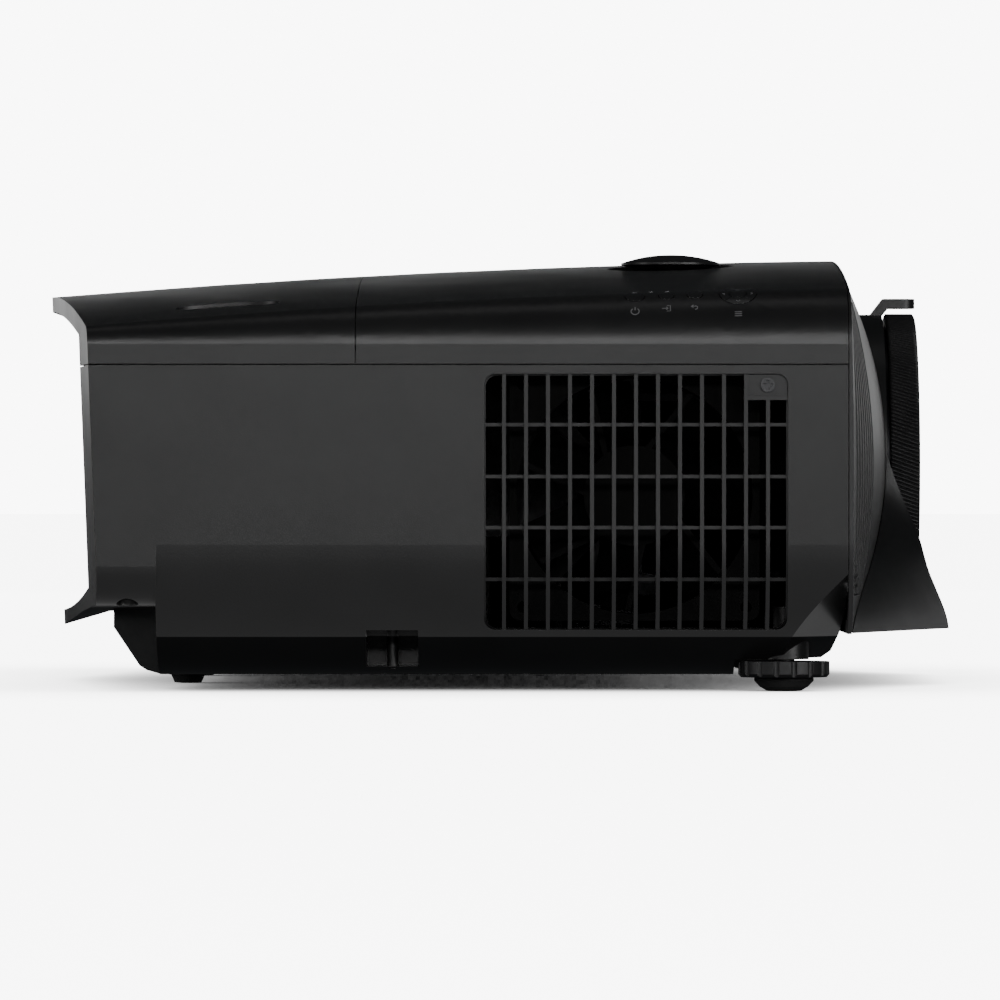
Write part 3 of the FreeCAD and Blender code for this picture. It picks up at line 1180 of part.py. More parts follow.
# ---------------------------------------------------------------- build
def main():
    os.makedirs("parts", exist_ok=True)
    dome = make_dome()
    side_grille = make_side_grille()
    front_grille = make_front_grille(dome)

    save("lower_case", make_lower_case())
    save("front_top_cover", make_front_cover())
    save("service_cover", make_service_cover())
    save("front_fascia", make_fascia(dome))
    save("remote_window", make_remote_window(dome))
    save("front_grille_right", front_grille)
    save("front_grille_left", left_copy(front_grille))
    save("side_grille_right", side_grille)
    save("side_grille_left", left_copy(side_grille))
    save("lens_surround", make_lens_surround(dome))
    save("indicator_lights", make_indicator_lights())
    save("case_screws", make_case_screws())
    for name, key in make_keys().items():
        save(name, key)

    save("rear_panel", make_rear_panel())
    save("rear_sockets", make_video_sockets() + make_control_sockets())
    save("mains_inlet", make_mains_inlet())

    save("lens_barrel", make_lens_barrel())
    save("rear_lens", make_rear_lens())
    save("zoom_cell", make_zoom_cell())
    save("zoom_lens", make_zoom_lens())
    save("zoom_ring", make_zoom_ring())
    save("focus_ring", make_focus_ring())
    save("focus_cell", make_focus_cell())
    save("front_lens", make_front_lens())

    save("shift_base", make_shift_base())
    save("vertical_carriage", make_vertical_carriage())
    save("horizontal_carriage", make_horizontal_carriage())
    save("joystick_bracket", make_joystick_bracket())
    save("shift_gimbal", make_shift_gimbal())
    save("shift_stick", make_shift_stick())
    save("shift_knob", make_shift_knob())

    save("engine_housing", make_engine_housing())
    save("light_tunnel", make_light_tunnel())
    save("relay_optics", make_relay_optics())
    save("mirror_board", make_mirror_board())
    save("mirror_heatsink", make_mirror_heatsink())
    save("wheel_motor", make_wheel_motor())
    save("color_wheel", make_color_wheel())
    save("lamp_module", make_lamp_module())
    save("lamp_reflector", make_lamp_reflector())

    save("fan_frames", make_fan_frames())
    save("exhaust_fan_rotor", make_fan_rotor(-1))
    save("intake_fan_rotor", make_fan_rotor(1))
    save("blower_housing", make_blower_housing())
    save("blower_impeller", make_blower_impeller())
    save("main_board", make_main_board())
    save("power_board", make_power_board())

    wheel = make_foot_wheel()
    pad = make_foot_pad()
    save("foot_wheel_right", wheel)
    save("foot_wheel_left", left_copy(wheel))
    save("foot_pad_right", pad)
    save("foot_pad_left", left_copy(pad))
    save("rear_feet", make_rear_feet())
    save("threaded_inserts", both_sides(make_foot_bush()) + make_mount_inserts())


main()
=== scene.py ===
"""The looks of a home projector: studio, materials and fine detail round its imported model."""
import json
import math
import random

import bmesh
import bpy
from mathutils import Matrix, Vector


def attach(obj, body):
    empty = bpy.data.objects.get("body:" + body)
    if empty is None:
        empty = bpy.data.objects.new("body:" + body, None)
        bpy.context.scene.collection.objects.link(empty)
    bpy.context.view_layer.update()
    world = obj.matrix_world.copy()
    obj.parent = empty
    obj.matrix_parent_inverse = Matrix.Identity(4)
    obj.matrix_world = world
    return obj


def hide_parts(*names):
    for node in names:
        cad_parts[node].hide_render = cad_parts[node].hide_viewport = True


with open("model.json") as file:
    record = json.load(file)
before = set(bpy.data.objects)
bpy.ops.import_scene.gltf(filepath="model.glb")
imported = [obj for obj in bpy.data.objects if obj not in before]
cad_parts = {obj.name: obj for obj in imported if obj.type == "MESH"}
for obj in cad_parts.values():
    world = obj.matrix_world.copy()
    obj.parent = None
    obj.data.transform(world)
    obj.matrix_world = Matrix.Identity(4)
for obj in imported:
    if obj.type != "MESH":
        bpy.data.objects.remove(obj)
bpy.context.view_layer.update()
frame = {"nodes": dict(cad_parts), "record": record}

SCENE = bpy.context.scene
MM = 0.001

# The body's own measures, in millimetres as in the CAD.
LENS_Z = 84.6                    # height of the lens axis
FOCUS_FACE_X = 164.5             # front face of the focus ring
KEY_LEAN = math.radians(24.0)    # the keys face this far over to the right
SHOULDER_Z = 127.5               # height where the side turns into the shoulder
HALF_WIDTH = 246.5
BOARD_TOP = 41.6                 # upper face of the main board

# The studio, in metres and watts.
CAMERA_PLACE = (0.0015, -3.4, 0.0704)
CAMERA_LENS_MM = 310.3
CAMERA_FILM_MM = 36.0
BACKDROP_STRENGTH = 9.0          # what the camera sees behind the model
ROOM_STRENGTH = 0.03             # what lights the model from all round
FLOOR_SIZE = 40.0
FLOOR_DROP = 0.0002              # keeps the sheet clear of the feet
FLOOR_GLOW = 7.6
FLOOR_PAINTED_SHADOW_REACH = 0.16         # how far the painted contact shadow spreads
LIGHTS = [                       # name, place, target, (width, height), watts
    ("key_band", (0.1, -3.0, 0.74), (0.0, 0.0, 0.10), (3.4, 0.20), 32.0),
    ("low_fill", (0.0, -3.2, 0.12), (0.0, 0.0, 0.06), (3.6, 0.22), 0.8),
    ("floor_bounce", (0.0, -1.3, 0.02), (0.0, -1.3, 1.0), (3.4, 2.2), 8.0),
    ("top_softbox", (0.0, 0.1, 2.6), (0.0, 0.0, 0.1), (1.2, 0.8), 1.0),
    ("lens_side_strip", (2.3, -2.4, 0.45), (0.12, -0.1, 0.08), (1.6, 0.8), 24.0),
    ("lens_far_strip", (1.9, 2.4, 0.45), (0.12, 0.0, 0.08), (1.4, 0.8), 1.4),
    ("rear_side_strip", (-2.2, -1.0, 0.6), (-0.15, -0.1, 0.08), (0.8, 1.4), 10.0),
    ("left_fill", (-0.6, 3.2, 0.40), (0.0, 0.0, 0.10), (5.0, 0.5), 12.0),
]


# ---------------------------------------------------------------- camera and studio
def add_camera():
    """A long lens, level and a little below the lens axis, far off on the right side."""
    data = bpy.data.cameras.new("camera")
    data.lens = CAMERA_LENS_MM
    data.sensor_width = CAMERA_FILM_MM
    data.clip_start = 0.1
    data.clip_end = 60.0
    camera = bpy.data.objects.new("camera", data)
    camera.location = CAMERA_PLACE
    camera.rotation_euler = (math.radians(90.0), 0.0, 0.0)
    SCENE.collection.objects.link(camera)
    SCENE.camera = camera


def add_area_light(name, place, target, size, power):
    data = bpy.data.lights.new(name, "AREA")
    data.shape = "RECTANGLE"
    data.size, data.size_y = size
    data.energy = power
    light = bpy.data.objects.new(name, data)
    light.location = place
    aim = Vector(target) - Vector(place)
    light.rotation_euler = aim.to_track_quat("-Z", "Y").to_euler()
    light.visible_camera = False
    SCENE.collection.objects.link(light)


def add_studio():
    """A white backdrop for the camera only, a faint room, and the lights."""
    world = bpy.data.worlds.new("studio")
    SCENE.world = world
    world.use_nodes = True
    tree = world.node_tree
    tree.nodes.clear()
    out = tree.nodes.new("ShaderNodeOutputWorld")
    mix = tree.nodes.new("ShaderNodeMixShader")
    path = tree.nodes.new("ShaderNodeLightPath")
    pale = tree.nodes.new("ShaderNodeBackground")
    pale.inputs["Color"].default_value = (1.0, 1.0, 1.0, 1.0)
    pale.inputs["Strength"].default_value = BACKDROP_STRENGTH
    room = tree.nodes.new("ShaderNodeBackground")
    room.inputs["Color"].default_value = (0.9, 0.95, 1.0, 1.0)
    room.inputs["Strength"].default_value = ROOM_STRENGTH
    tree.links.new(path.outputs["Is Camera Ray"], mix.inputs["Fac"])
    tree.links.new(room.outputs["Background"], mix.inputs[1])
    tree.links.new(pale.outputs["Background"], mix.inputs[2])
    tree.links.new(mix.outputs["Shader"], out.inputs["Surface"])

    for light in LIGHTS:
        add_area_light(*light)


def add_floor():
    """A plain pale sheet that the projector stands on, with a contact shadow painted into its glow."""
    mesh = bpy.data.meshes.new("studio_floor")
    shape = bmesh.new()
    bmesh.ops.create_grid(shape, x_segments=8, y_segments=8, size=FLOOR_SIZE)
    shape.to_mesh(mesh)
    shape.free()
    floor = bpy.data.objects.new("studio_floor", mesh)
    floor.location = (0.0, 0.0, -FLOOR_DROP)
    SCENE.collection.objects.link(floor)
    surface = Surface("studio_paper", (0.86, 0.86, 0.865), 0.55)
    surface.vary_colour(9.0, 0.012)
    surface.set(Emission_Strength=FLOOR_GLOW)
    # painted contact shadow: ambient occlusion darkens the floor's glow near the model
    painted_shadow = surface.add("AmbientOcclusion")
    painted_shadow.samples = 32
    painted_shadow.inputs["Distance"].default_value = FLOOR_PAINTED_SHADOW_REACH
    surface.join(painted_shadow, "Color", surface.shader, "Emission Color")
    floor.data.materials.append(surface.material)
    floor.visible_glossy = False
    floor.visible_diffuse = False


# ---------------------------------------------------------------- materials
class Surface:
    """A principled material that detail is added to, step by step."""

    def __init__(self, name, colour, roughness, metallic=0.0):
        self.material = bpy.data.materials.new(name)
        self.material.use_nodes = True
        self.tree = self.material.node_tree
        self.tree.nodes.clear()
        self.output = self.add("OutputMaterial")
        self.shader = self.add("BsdfPrincipled")
        self.join(self.shader, "BSDF", self.output, "Surface")
        self.shader.inputs["Base Color"].default_value = (*colour, 1.0)
        self.shader.inputs["Roughness"].default_value = roughness
        self.shader.inputs["Metallic"].default_value = metallic
        self.colour = colour
        self.roughness = roughness
        self.place = self.add("TexCoord")
        self.colour_source = None
        self.normal_source = None

    def add(self, kind):
        return self.tree.nodes.new("ShaderNode" + kind)

    def join(self, start, out_name, stop, in_name):
        self.tree.links.new(start.outputs[out_name], stop.inputs[in_name])

    def noise(self, size_mm, detail=2.0, stretch=(1.0, 1.0, 1.0)):
        """Noise with features of that size, fixed to the piece."""
        shift = self.add("Mapping")
        shift.inputs["Scale"].default_value = stretch
        self.join(self.place, "Object", shift, "Vector")
        texture = self.add("TexNoise")
        texture.inputs["Scale"].default_value = 1.0 / (size_mm * MM)
        texture.inputs["Detail"].default_value = detail
        self.join(shift, "Vector", texture, "Vector")
        return texture

    def cells(self, size_mm):
        texture = self.add("TexVoronoi")
        texture.inputs["Scale"].default_value = 1.0 / (size_mm * MM)
        self.join(self.place, "Object", texture, "Vector")
        return texture

    def remap(self, source, out_name, low, high, start=0.3, stop=0.7):
        """The source's middle range, stretched to run from low to high."""
        step = self.add("MapRange")
        step.inputs["From Min"].default_value = start
        step.inputs["From Max"].default_value = stop
        step.inputs["To Min"].default_value = low
        step.inputs["To Max"].default_value = high
        self.join(source, out_name, step, "Value")
        return step

    def blend_colour(self, factor, factor_name, other):
        """Mixes another colour in where the factor is high."""
        mix = self.add("Mix")
        mix.data_type = "RGBA"
        mix.inputs[6].default_value = (*self.colour, 1.0)
        if self.colour_source is not None:
            self.tree.links.new(self.colour_source, mix.inputs[6])
        mix.inputs[7].default_value = (*other, 1.0)
        self.tree.links.new(factor.outputs[factor_name], mix.inputs[0])
        self.colour_source = mix.outputs[2]
        self.tree.links.new(self.colour_source, self.shader.inputs["Base Color"])

    def vary_colour(self, size_mm, amount):
        """Soft patches a little lighter than the base colour."""
        texture = self.noise(size_mm, 3.0)
        lighter = tuple(min(1.0, channel + amount) for channel in self.colour)
        factor = self.remap(texture, "Fac", 0.0, 1.0)
        self.blend_colour(factor, "Result", lighter)

    def vary_roughness(self, size_mm, amount, detail=3.0, stretch=(1.0, 1.0, 1.0)):
        texture = self.noise(size_mm, detail, stretch)
        step = self.remap(texture, "Fac", self.roughness - amount, self.roughness + amount)
        self.join(step, "Result", self.shader, "Roughness")

    def bump(self, source, out_name, depth_mm):
        node = self.add("Bump")
        node.inputs["Distance"].default_value = depth_mm * MM
        node.inputs["Strength"].default_value = 1.0
        self.join(source, out_name, node, "Height")
        if self.normal_source is not None:
            self.tree.links.new(self.normal_source, node.inputs["Normal"])
        self.normal_source = node.outputs["Normal"]
        self.tree.links.new(self.normal_source, self.shader.inputs["Normal"])

    def grain(self, size_mm, depth_mm, stretch=(1.0, 1.0, 1.0), detail=2.0):
        self.bump(self.noise(size_mm, detail, stretch), "Fac", depth_mm)

    def spark_texture(self, size_mm, depth_mm):
        """The pitted skin of a spark-eroded mould."""
        pits = self.cells(size_mm)
        self.bump(pits, "Distance", depth_mm)
        self.grain(size_mm * 0.55, depth_mm * 0.6)

    def soft_edges(self, radius_mm):
        """Rounds sharp moulded edges in the shading."""
        node = self.add("Bevel")
        node.samples = 4
        node.inputs["Radius"].default_value = radius_mm * MM
        self.normal_source = node.outputs["Normal"]
        self.tree.links.new(self.normal_source, self.shader.inputs["Normal"])

    def rubbed_edges(self, radius_mm, colour, strength):
        """Edges where the skin has been handled: a little lighter than the faces."""
        bevel = self.add("Bevel")
        bevel.samples = 4
        bevel.inputs["Radius"].default_value = radius_mm * MM
        geometry = self.add("NewGeometry")
        dot = self.add("VectorMath")
        dot.operation = "DOT_PRODUCT"
        self.join(bevel, "Normal", dot, "Vector")
        self.tree.links.new(geometry.outputs["Normal"], dot.inputs[1])
        edge = self.remap(dot, "Value", strength, 0.0, 0.80, 0.99)
        self.blend_colour(edge, "Result", colour)

    def dust(self, amount):
        """Fine dust that settles on faces that look up."""
        geometry = self.add("NewGeometry")
        split = self.add("SeparateXYZ")
        self.join(geometry, "Normal", split, "Vector")
        upward = self.remap(split, "Z", 0.0, amount, 0.5, 1.0)
        specks = self.noise(2.2, 6.0)
        broken = self.remap(specks, "Fac", 0.25, 1.0, 0.42, 0.62)
        product = self.add("Math")
        product.operation = "MULTIPLY"
        self.tree.links.new(upward.outputs["Result"], product.inputs[0])
        self.tree.links.new(broken.outputs["Result"], product.inputs[1])
        self.blend_colour(product, "Value", (0.16, 0.155, 0.15))

    def set(self, **values):
        """Sets sockets of the shader by name, with _ for a space."""
        for name, value in values.items():
            self.shader.inputs[name.replace("_", " ")].default_value = value


def moulded(name, colour, roughness, pit_mm=0.35, depth_mm=0.02, edge_mm=0.35, sheen=0.5):
    """Textured moulding: pits, uneven gloss, soft edges, a trace of handling."""
    surface = Surface(name, colour, roughness)
    surface.vary_colour(38.0, 0.004)
    surface.rubbed_edges(edge_mm * 1.6, tuple(channel + 0.03 for channel in colour), 0.35)
    surface.dust(0.05)
    surface.vary_roughness(55.0, 0.04)
    surface.soft_edges(edge_mm)
    surface.spark_texture(pit_mm, depth_mm)
    surface.set(IOR=1.5, Specular_IOR_Level=sheen)
    return surface.material


def smooth_plastic(name, colour, roughness):
    """Glossier plastic with a slow wave and a very fine grain."""
    surface = Surface(name, colour, roughness)
    surface.vary_colour(12.0, 0.006)
    surface.vary_roughness(18.0, 0.035)
    surface.soft_edges(0.2)
    surface.grain(6.0, 0.004)
    surface.grain(0.25, 0.003)
    return surface.material


def rubber(name, colour):
    surface = Surface(name, colour, 0.72)
    surface.vary_colour(4.0, 0.012)
    surface.dust(0.12)
    surface.vary_roughness(6.0, 0.06)
    surface.soft_edges(0.3)
    surface.grain(0.5, 0.05)
    return surface.material


def brushed_metal(name, colour, roughness, stretch):
    """Metal with fine tool marks that run one way."""
    surface = Surface(name, colour, roughness, 1.0)
    surface.vary_colour(9.0, 0.03)
    surface.vary_roughness(0.5, 0.08, 4.0, stretch)
    surface.soft_edges(0.15)
    surface.grain(0.4, 0.006, stretch, 3.0)
    return surface.material


def cast_metal(name, colour):
    surface = Surface(name, colour, 0.42, 1.0)
    surface.vary_colour(14.0, 0.05)
    surface.vary_roughness(5.0, 0.08)
    surface.soft_edges(0.5)
    surface.grain(0.9, 0.05)
    return surface.material


def anodised(name, colour):
    surface = Surface(name, colour, 0.38, 0.9)
    surface.vary_colour(7.0, 0.01)
    surface.vary_roughness(2.0, 0.05)
    surface.soft_edges(0.12)
    surface.grain(0.3, 0.004, (0.15, 1.0, 1.0))
    return surface.material


def coated_glass(name, tint, film):
    """Clear optical glass with a thin coloured film."""
    surface = Surface(name, tint, 0.02)
    surface.set(Transmission_Weight=1.0, IOR=1.52, Coat_Weight=0.35, Coat_Roughness=0.03,
                Coat_Tint=(*film, 1.0))
    surface.grain(30.0, 0.002)
    surface.vary_roughness(25.0, 0.008)
    return surface.material


def circuit_board(name):
    """Green solder mask over copper tracks, with bare pads."""
    surface = Surface(name, (0.012, 0.085, 0.035), 0.34)
    tracks = surface.add("TexBrick")
    tracks.inputs["Scale"].default_value = 90.0
    tracks.inputs["Mortar Size"].default_value = 0.035
    tracks.inputs["Color1"].default_value = (0.0, 0.0, 0.0, 1.0)
    tracks.inputs["Color2"].default_value = (0.25, 0.25, 0.25, 1.0)
    tracks.inputs["Mortar"].default_value = (1.0, 1.0, 1.0, 1.0)
    surface.join(surface.place, "Object", tracks, "Vector")
    surface.blend_colour(tracks, "Fac", (0.03, 0.16, 0.06))
    pads = surface.cells(2.6)
    spots = surface.remap(pads, "Distance", 1.0, 0.0, 0.12, 0.16)
    surface.blend_colour(spots, "Result", (0.60, 0.55, 0.42))
    surface.vary_roughness(8.0, 0.05)
    surface.bump(tracks, "Fac", 0.03)
    return surface.material


def dichroic_wheel(name):
    """Six coloured filter segments round a hub."""
    surface = Surface(name, (0.5, 0.5, 0.5), 0.06, 0.35)
    shift = surface.add("Mapping")
    shift.inputs["Location"].default_value = (LENS_Z * -MM, -0.082, 0.063)
    shift.inputs["Rotation"].default_value = (0.0, math.radians(90.0), 0.0)
    surface.join(surface.place, "Object", shift, "Vector")
    sweep = surface.add("TexGradient")
    sweep.gradient_type = "RADIAL"
    surface.join(shift, "Vector", sweep, "Vector")
    ramp = surface.add("ValToRGB")
    ramp.color_ramp.interpolation = "CONSTANT"
    tones = [(0.75, 0.05, 0.03), (0.04, 0.6, 0.10), (0.04, 0.10, 0.8)] * 2
    while len(ramp.color_ramp.elements) < len(tones):
        ramp.color_ramp.elements.new(0.5)
    for number, tone in enumerate(tones):
        ramp.color_ramp.elements[number].position = number / len(tones)
        ramp.color_ramp.elements[number].color = (*tone, 1.0)
    surface.join(sweep, "Fac", ramp, "Fac")
    surface.join(ramp, "Color", surface.shader, "Base Color")
    surface.vary_roughness(3.0, 0.02)
    surface.set(Coat_Weight=0.6, Coat_Roughness=0.05)
    return surface.material


def light_pipe(name):
    """Frosted clear plastic, not lit."""
    surface = Surface(name, (0.32, 0.33, 0.34), 0.25)
    surface.vary_colour(1.5, 0.05)
    surface.vary_roughness(1.0, 0.05)
    surface.set(Transmission_Weight=0.4, IOR=1.49)
    return surface.material


def make_materials():
    """One material for each slot that the record names."""
    return {
        "case_plastic": moulded("case_plastic", (0.0085, 0.0085, 0.0088), 0.34, 0.42, 0.012, 0.4),
        "fascia_plastic": moulded("fascia_plastic", (0.009, 0.009, 0.0095), 0.40, 0.35, 0.014, 0.35),
        "grille_plastic": moulded("grille_plastic", (0.011, 0.011, 0.0115), 0.46, 0.35, 0.007, 0.12),
        "ring_plastic": smooth_plastic("ring_plastic", (0.008, 0.008, 0.0085), 0.38),
        "knob_plastic": moulded("knob_plastic", (0.010, 0.010, 0.0105), 0.36, 0.3, 0.008, 0.3),
        "key_plastic": smooth_plastic("key_plastic", (0.012, 0.012, 0.0125), 0.22),
        "light_pipe": light_pipe("light_pipe"),
        "infrared_window": smooth_plastic("infrared_window", (0.012, 0.002, 0.003), 0.08),
        "foot_plastic": moulded("foot_plastic", (0.011, 0.011, 0.0115), 0.42, 0.3, 0.015, 0.3),
        "rubber": rubber("rubber", (0.014, 0.014, 0.014)),
        "screw_steel": brushed_metal("screw_steel", (0.045, 0.045, 0.047), 0.34, (1.0, 1.0, 0.3)),
        "insert_brass": brushed_metal("insert_brass", (0.72, 0.50, 0.20), 0.28, (1.0, 1.0, 0.2)),
        "panel_plastic": moulded("panel_plastic", (0.012, 0.012, 0.0125), 0.5, 0.45, 0.02, 0.3),
        "socket_metal": brushed_metal("socket_metal", (0.60, 0.60, 0.58), 0.30, (0.2, 1.0, 1.0)),
        "inlet_plastic": smooth_plastic("inlet_plastic", (0.010, 0.010, 0.010), 0.4),
        "lens_metal": anodised("lens_metal", (0.025, 0.025, 0.027)),
        "optical_glass": coated_glass("optical_glass", (0.93, 0.96, 1.0), (0.45, 0.35, 1.0)),
        "cast_metal": cast_metal("cast_metal", (0.035, 0.035, 0.037)),
        "carriage_metal": brushed_metal("carriage_metal", (0.06, 0.06, 0.064), 0.42, (1.0, 0.2, 1.0)),
        "heatsink_metal": brushed_metal("heatsink_metal", (0.62, 0.62, 0.64), 0.32, (1.0, 1.0, 0.2)),
        "board_green": circuit_board("board_green"),
        "fan_plastic": moulded("fan_plastic", (0.002, 0.002, 0.002), 0.6, 0.3, 0.01, 0.25, 0.08),
        "lamp_plastic": moulded("lamp_plastic", (0.07, 0.068, 0.064), 0.5, 0.5, 0.03, 0.4),
        "lamp_glass": coated_glass("lamp_glass", (0.86, 0.88, 0.95), (0.7, 0.8, 1.0)),
        "wheel_glass": dichroic_wheel("wheel_glass"),
        "steel": brushed_metal("steel", (0.24, 0.24, 0.25), 0.3, (0.3, 1.0, 1.0)),
    }


# ---------------------------------------------------------------- mesh helpers
def finish_piece(name, shape, material, body, smooth_angle=35.0):
    """Turns a bmesh in millimetres into a piece that rides on a body."""
    bmesh.ops.scale(shape, vec=(MM, MM, MM), verts=shape.verts)
    bmesh.ops.recalc_face_normals(shape, faces=shape.faces)
    mesh = bpy.data.meshes.new(name)
    shape.to_mesh(mesh)
    shape.free()
    mesh.polygons.foreach_set("use_smooth", [True] * len(mesh.polygons))
    mesh.set_sharp_from_angle(angle=math.radians(smooth_angle))
    mesh.materials.append(material)
    piece = bpy.data.objects.new(name, mesh)
    SCENE.collection.objects.link(piece)
    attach(piece, body)
    return piece


def ring_of(shape, points):
    return [shape.verts.new(point) for point in points]


def skin_rings(shape, rings, closed=False):
    """Quads between neighbouring rings of the same number of points."""
    count = len(rings)
    for index in range(count if closed else count - 1):
        first, second = rings[index], rings[(index + 1) % count]
        for k in range(len(first)):
            following = (k + 1) % len(first)
            shape.faces.new((first[k], first[following], second[following], second[k]))


def ribbed_ring():
    """The focus ring's grip: fine ribs that lean round the ring."""
    ribs, steps = 240, 8         # steps are the points along one rib's wave
    count = ribs * steps
    lean = math.tan(math.radians(20.0))
    start, stop = 152.8, FOCUS_FACE_X
    bore, crest, rib_depth, mean_radius = 54.12, 59.2, 0.75, 59.0
    rib_start, rib_stop, spans = 153.3, 163.7, 12
    outline = [(start + 0.05, bore, 0.0), (start, 57.8, 0.0), (start + 0.1, 58.4, 0.25)]
    for number in range(spans + 1):
        x = rib_start + (rib_stop - rib_start) * number / spans
        outline.append((x, crest, rib_depth))
    outline += [(stop - 0.3, 58.6, 0.3), (stop, 57.9, 0.0), (stop, 56.5, 0.0), (161.8, bore, 0.0)]
    shape = bmesh.new()
    rings = []
    for x, radius, depth in outline:
        points = []
        twist = (x - start) * lean / mean_radius
        for k in range(count):
            angle = 2 * math.pi * k / count + twist
            wave = 0.5 - 0.5 * math.cos(2 * math.pi * (k % steps) / steps)
            reach = radius - depth * (1 - min(1.0, wave * 1.5))
            points.append((x, reach * math.cos(angle), LENS_Z + reach * math.sin(angle)))
        rings.append(ring_of(shape, points))
    skin_rings(shape, rings, closed=True)
    return shape


def add_block(shape, low, high, chamfer):
    """A box with all its edges chamfered."""
    made = bmesh.ops.create_cube(shape, size=1.0)["verts"]
    size = [high[k] - low[k] for k in range(3)]
    middle = [(high[k] + low[k]) / 2 for k in range(3)]
    bmesh.ops.scale(shape, vec=size, verts=made)
    bmesh.ops.translate(shape, vec=middle, verts=made)
    edges = list({edge for vert in made for edge in vert.link_edges})
    bmesh.ops.bevel(shape, geom=edges, offset=chamfer, segments=2, profile=0.6, affect="EDGES")


def add_turned(shape, centre, outline, segments=32, axis="Z"):
    """A solid of revolution from (along, radius) points, round an axis through centre."""
    turn = {"Z": Matrix.Identity(3), "X": Matrix.Rotation(math.radians(90), 3, "Y")}[axis]
    rings = []
    for along, radius in outline:
        points = []
        for k in range(segments):
            angle = 2 * math.pi * k / segments
            local = Vector((radius * math.cos(angle), radius * math.sin(angle), along))
            points.append(turn @ local + Vector(centre))
        rings.append(ring_of(shape, points))
    skin_rings(shape, rings)
    shape.faces.new(rings[0][::-1])
    shape.faces.new(rings[-1])


def add_ribbon(shape, points, normals, width, thickness):
    """A flat closed strip along a line of points that lie on a surface."""
    rings = []
    for index, point in enumerate(points):
        before, after = points[max(0, index - 1)], points[min(len(points) - 1, index + 1)]
        along = (after - before).normalized()
        across = along.cross(normals[index]).normalized() * (width / 2)
        lift = normals[index] * thickness
        sunk = normals[index] * -0.05
        rings.append(ring_of(shape, [point - across + sunk, point + across + sunk,
                                     point + across + lift, point - across + lift]))
    skin_rings(shape, rings)
    shape.faces.new(rings[0][::-1])
    shape.faces.new(rings[-1])


# ---------------------------------------------------------------- control panel marks
def shoulder(x):
    """Centre (y, z) and radius of the right shoulder arc at that length, in millimetres."""
    top_z, top_x, long_radius = 164.3, 180.0, 4320.0     # the crown's curve along the body
    cross = 1667.0                                       # and its radius across the body
    crown = top_z - (top_x - x) ** 2 / (2 * long_radius)
    rise = SHOULDER_Z - (crown - cross)
    radius = (cross ** 2 - HALF_WIDTH ** 2 - rise ** 2) / (2 * (cross - HALF_WIDTH))
    return -(HALF_WIDTH - radius), SHOULDER_Z, radius


def on_shoulder(x, slope):
    """The point and normal that lie `slope` millimetres up the shoulder from the row of keys."""
    centre_y, centre_z, radius = shoulder(x)
    angle = KEY_LEAN - slope / radius
    normal = Vector((0.0, -math.sin(angle), math.cos(angle)))
    return Vector((x, centre_y, centre_z)) + normal * radius, normal


def arc_line(radius, start, stop):
    """Points along an arc between two angles in degrees."""
    steps = 20
    angles = [math.radians(start + (stop - start) * k / steps) for k in range(steps + 1)]
    return [(radius * math.cos(angle), radius * math.sin(angle)) for angle in angles]


# Each sign's lines, in millimetres round its own centre.
MARKS = {
    "power": [arc_line(1.5, 125, 415), [(0.0, 0.5), (0.0, 2.1)]],
    "source": [[(0.2, 1.5), (1.6, 1.5), (1.6, -1.5), (0.2, -1.5)], [(-1.8, 0.0), (0.7, 0.0)],
               [(-0.1, 0.8), (0.7, 0.0), (-0.1, -0.8)]],
    "back": [[(-0.6, 1.5), (-1.6, 0.7), (-0.6, -0.1)], [(-1.6, 0.7), (0.6, 0.7)],
             arc_line(1.0, 90, -90)],
    "menu": [[(-1.5, 1.0), (1.5, 1.0)], [(-1.5, 0.0), (1.5, 0.0)], [(-1.5, -1.0), (1.5, -1.0)]],
    "lamp": [arc_line(1.0, -60, 240), [(-0.5, -1.3), (0.5, -1.3)], [(-0.4, -1.8), (0.4, -1.8)]],
    "heat": [arc_line(0.7, -60, 240), [(-0.35, -0.5), (-0.35, 1.9), (0.35, 1.9), (0.35, -0.5)]],
    "arrow": [[(-1.0, -0.5), (0.0, 0.5), (1.0, -0.5)]],
}


SIGN_LIFT, ARROW_LIFT = 0.03, 0.29       # off the shoulder's skin; arrows stand on the keys
ARROW_SIZE = 0.75
SIGNS = [                                # mark, x, slope, size
    ("power", 51.0, -9.0, 1.0), ("source", 62.5, -8.0, 0.9),
    ("back", 73.0, -8.0, 0.9), ("menu", 88.8, -11.5, 0.9),
    ("power", 51.0, 18.5, 0.62), ("lamp", 57.0, 18.5, 0.62), ("heat", 63.0, 18.5, 0.62),
]
ARROWS = [                               # key, x, slope, quarter turns
    ("up_key", 88.8, 5.1, 0), ("down_key", 88.8, -5.1, 2),
    ("right_key", 93.9, 0.0, 3), ("left_key", 83.7, 0.0, 1),
]


def add_mark(shape, name, x, slope, quarter, size, lift):
    """One sign, turned by quarters and laid on the shoulder as thin ribbons."""
    turn = quarter * math.pi / 2
    cosine, sine = round(math.cos(turn)), round(math.sin(turn))
    for line in MARKS[name]:
        points, normals = [], []
        for u, v in line:
            across, along = (u * cosine - v * sine) * size, (u * sine + v * cosine) * size
            point, normal = on_shoulder(x + across, slope + along)
            points.append(point + normal * lift)
            normals.append(normal)
        add_ribbon(shape, points, normals, 0.32 * size + 0.08, 0.02)


def add_marks(material):
    """Printed signs beside the keys and lights, and an arrow on each way key."""
    shape = bmesh.new()
    for name, x, slope, size in SIGNS:
        add_mark(shape, name, x, slope, 0, size, SIGN_LIFT)
    for body, x, slope, quarter in ARROWS:
        arrow = bmesh.new()
        add_mark(arrow, "arrow", x, slope, quarter, ARROW_SIZE, ARROW_LIFT)
        finish_piece(body + "_arrow", arrow, material, body)
    finish_piece("panel_marks", shape, material, "chassis")


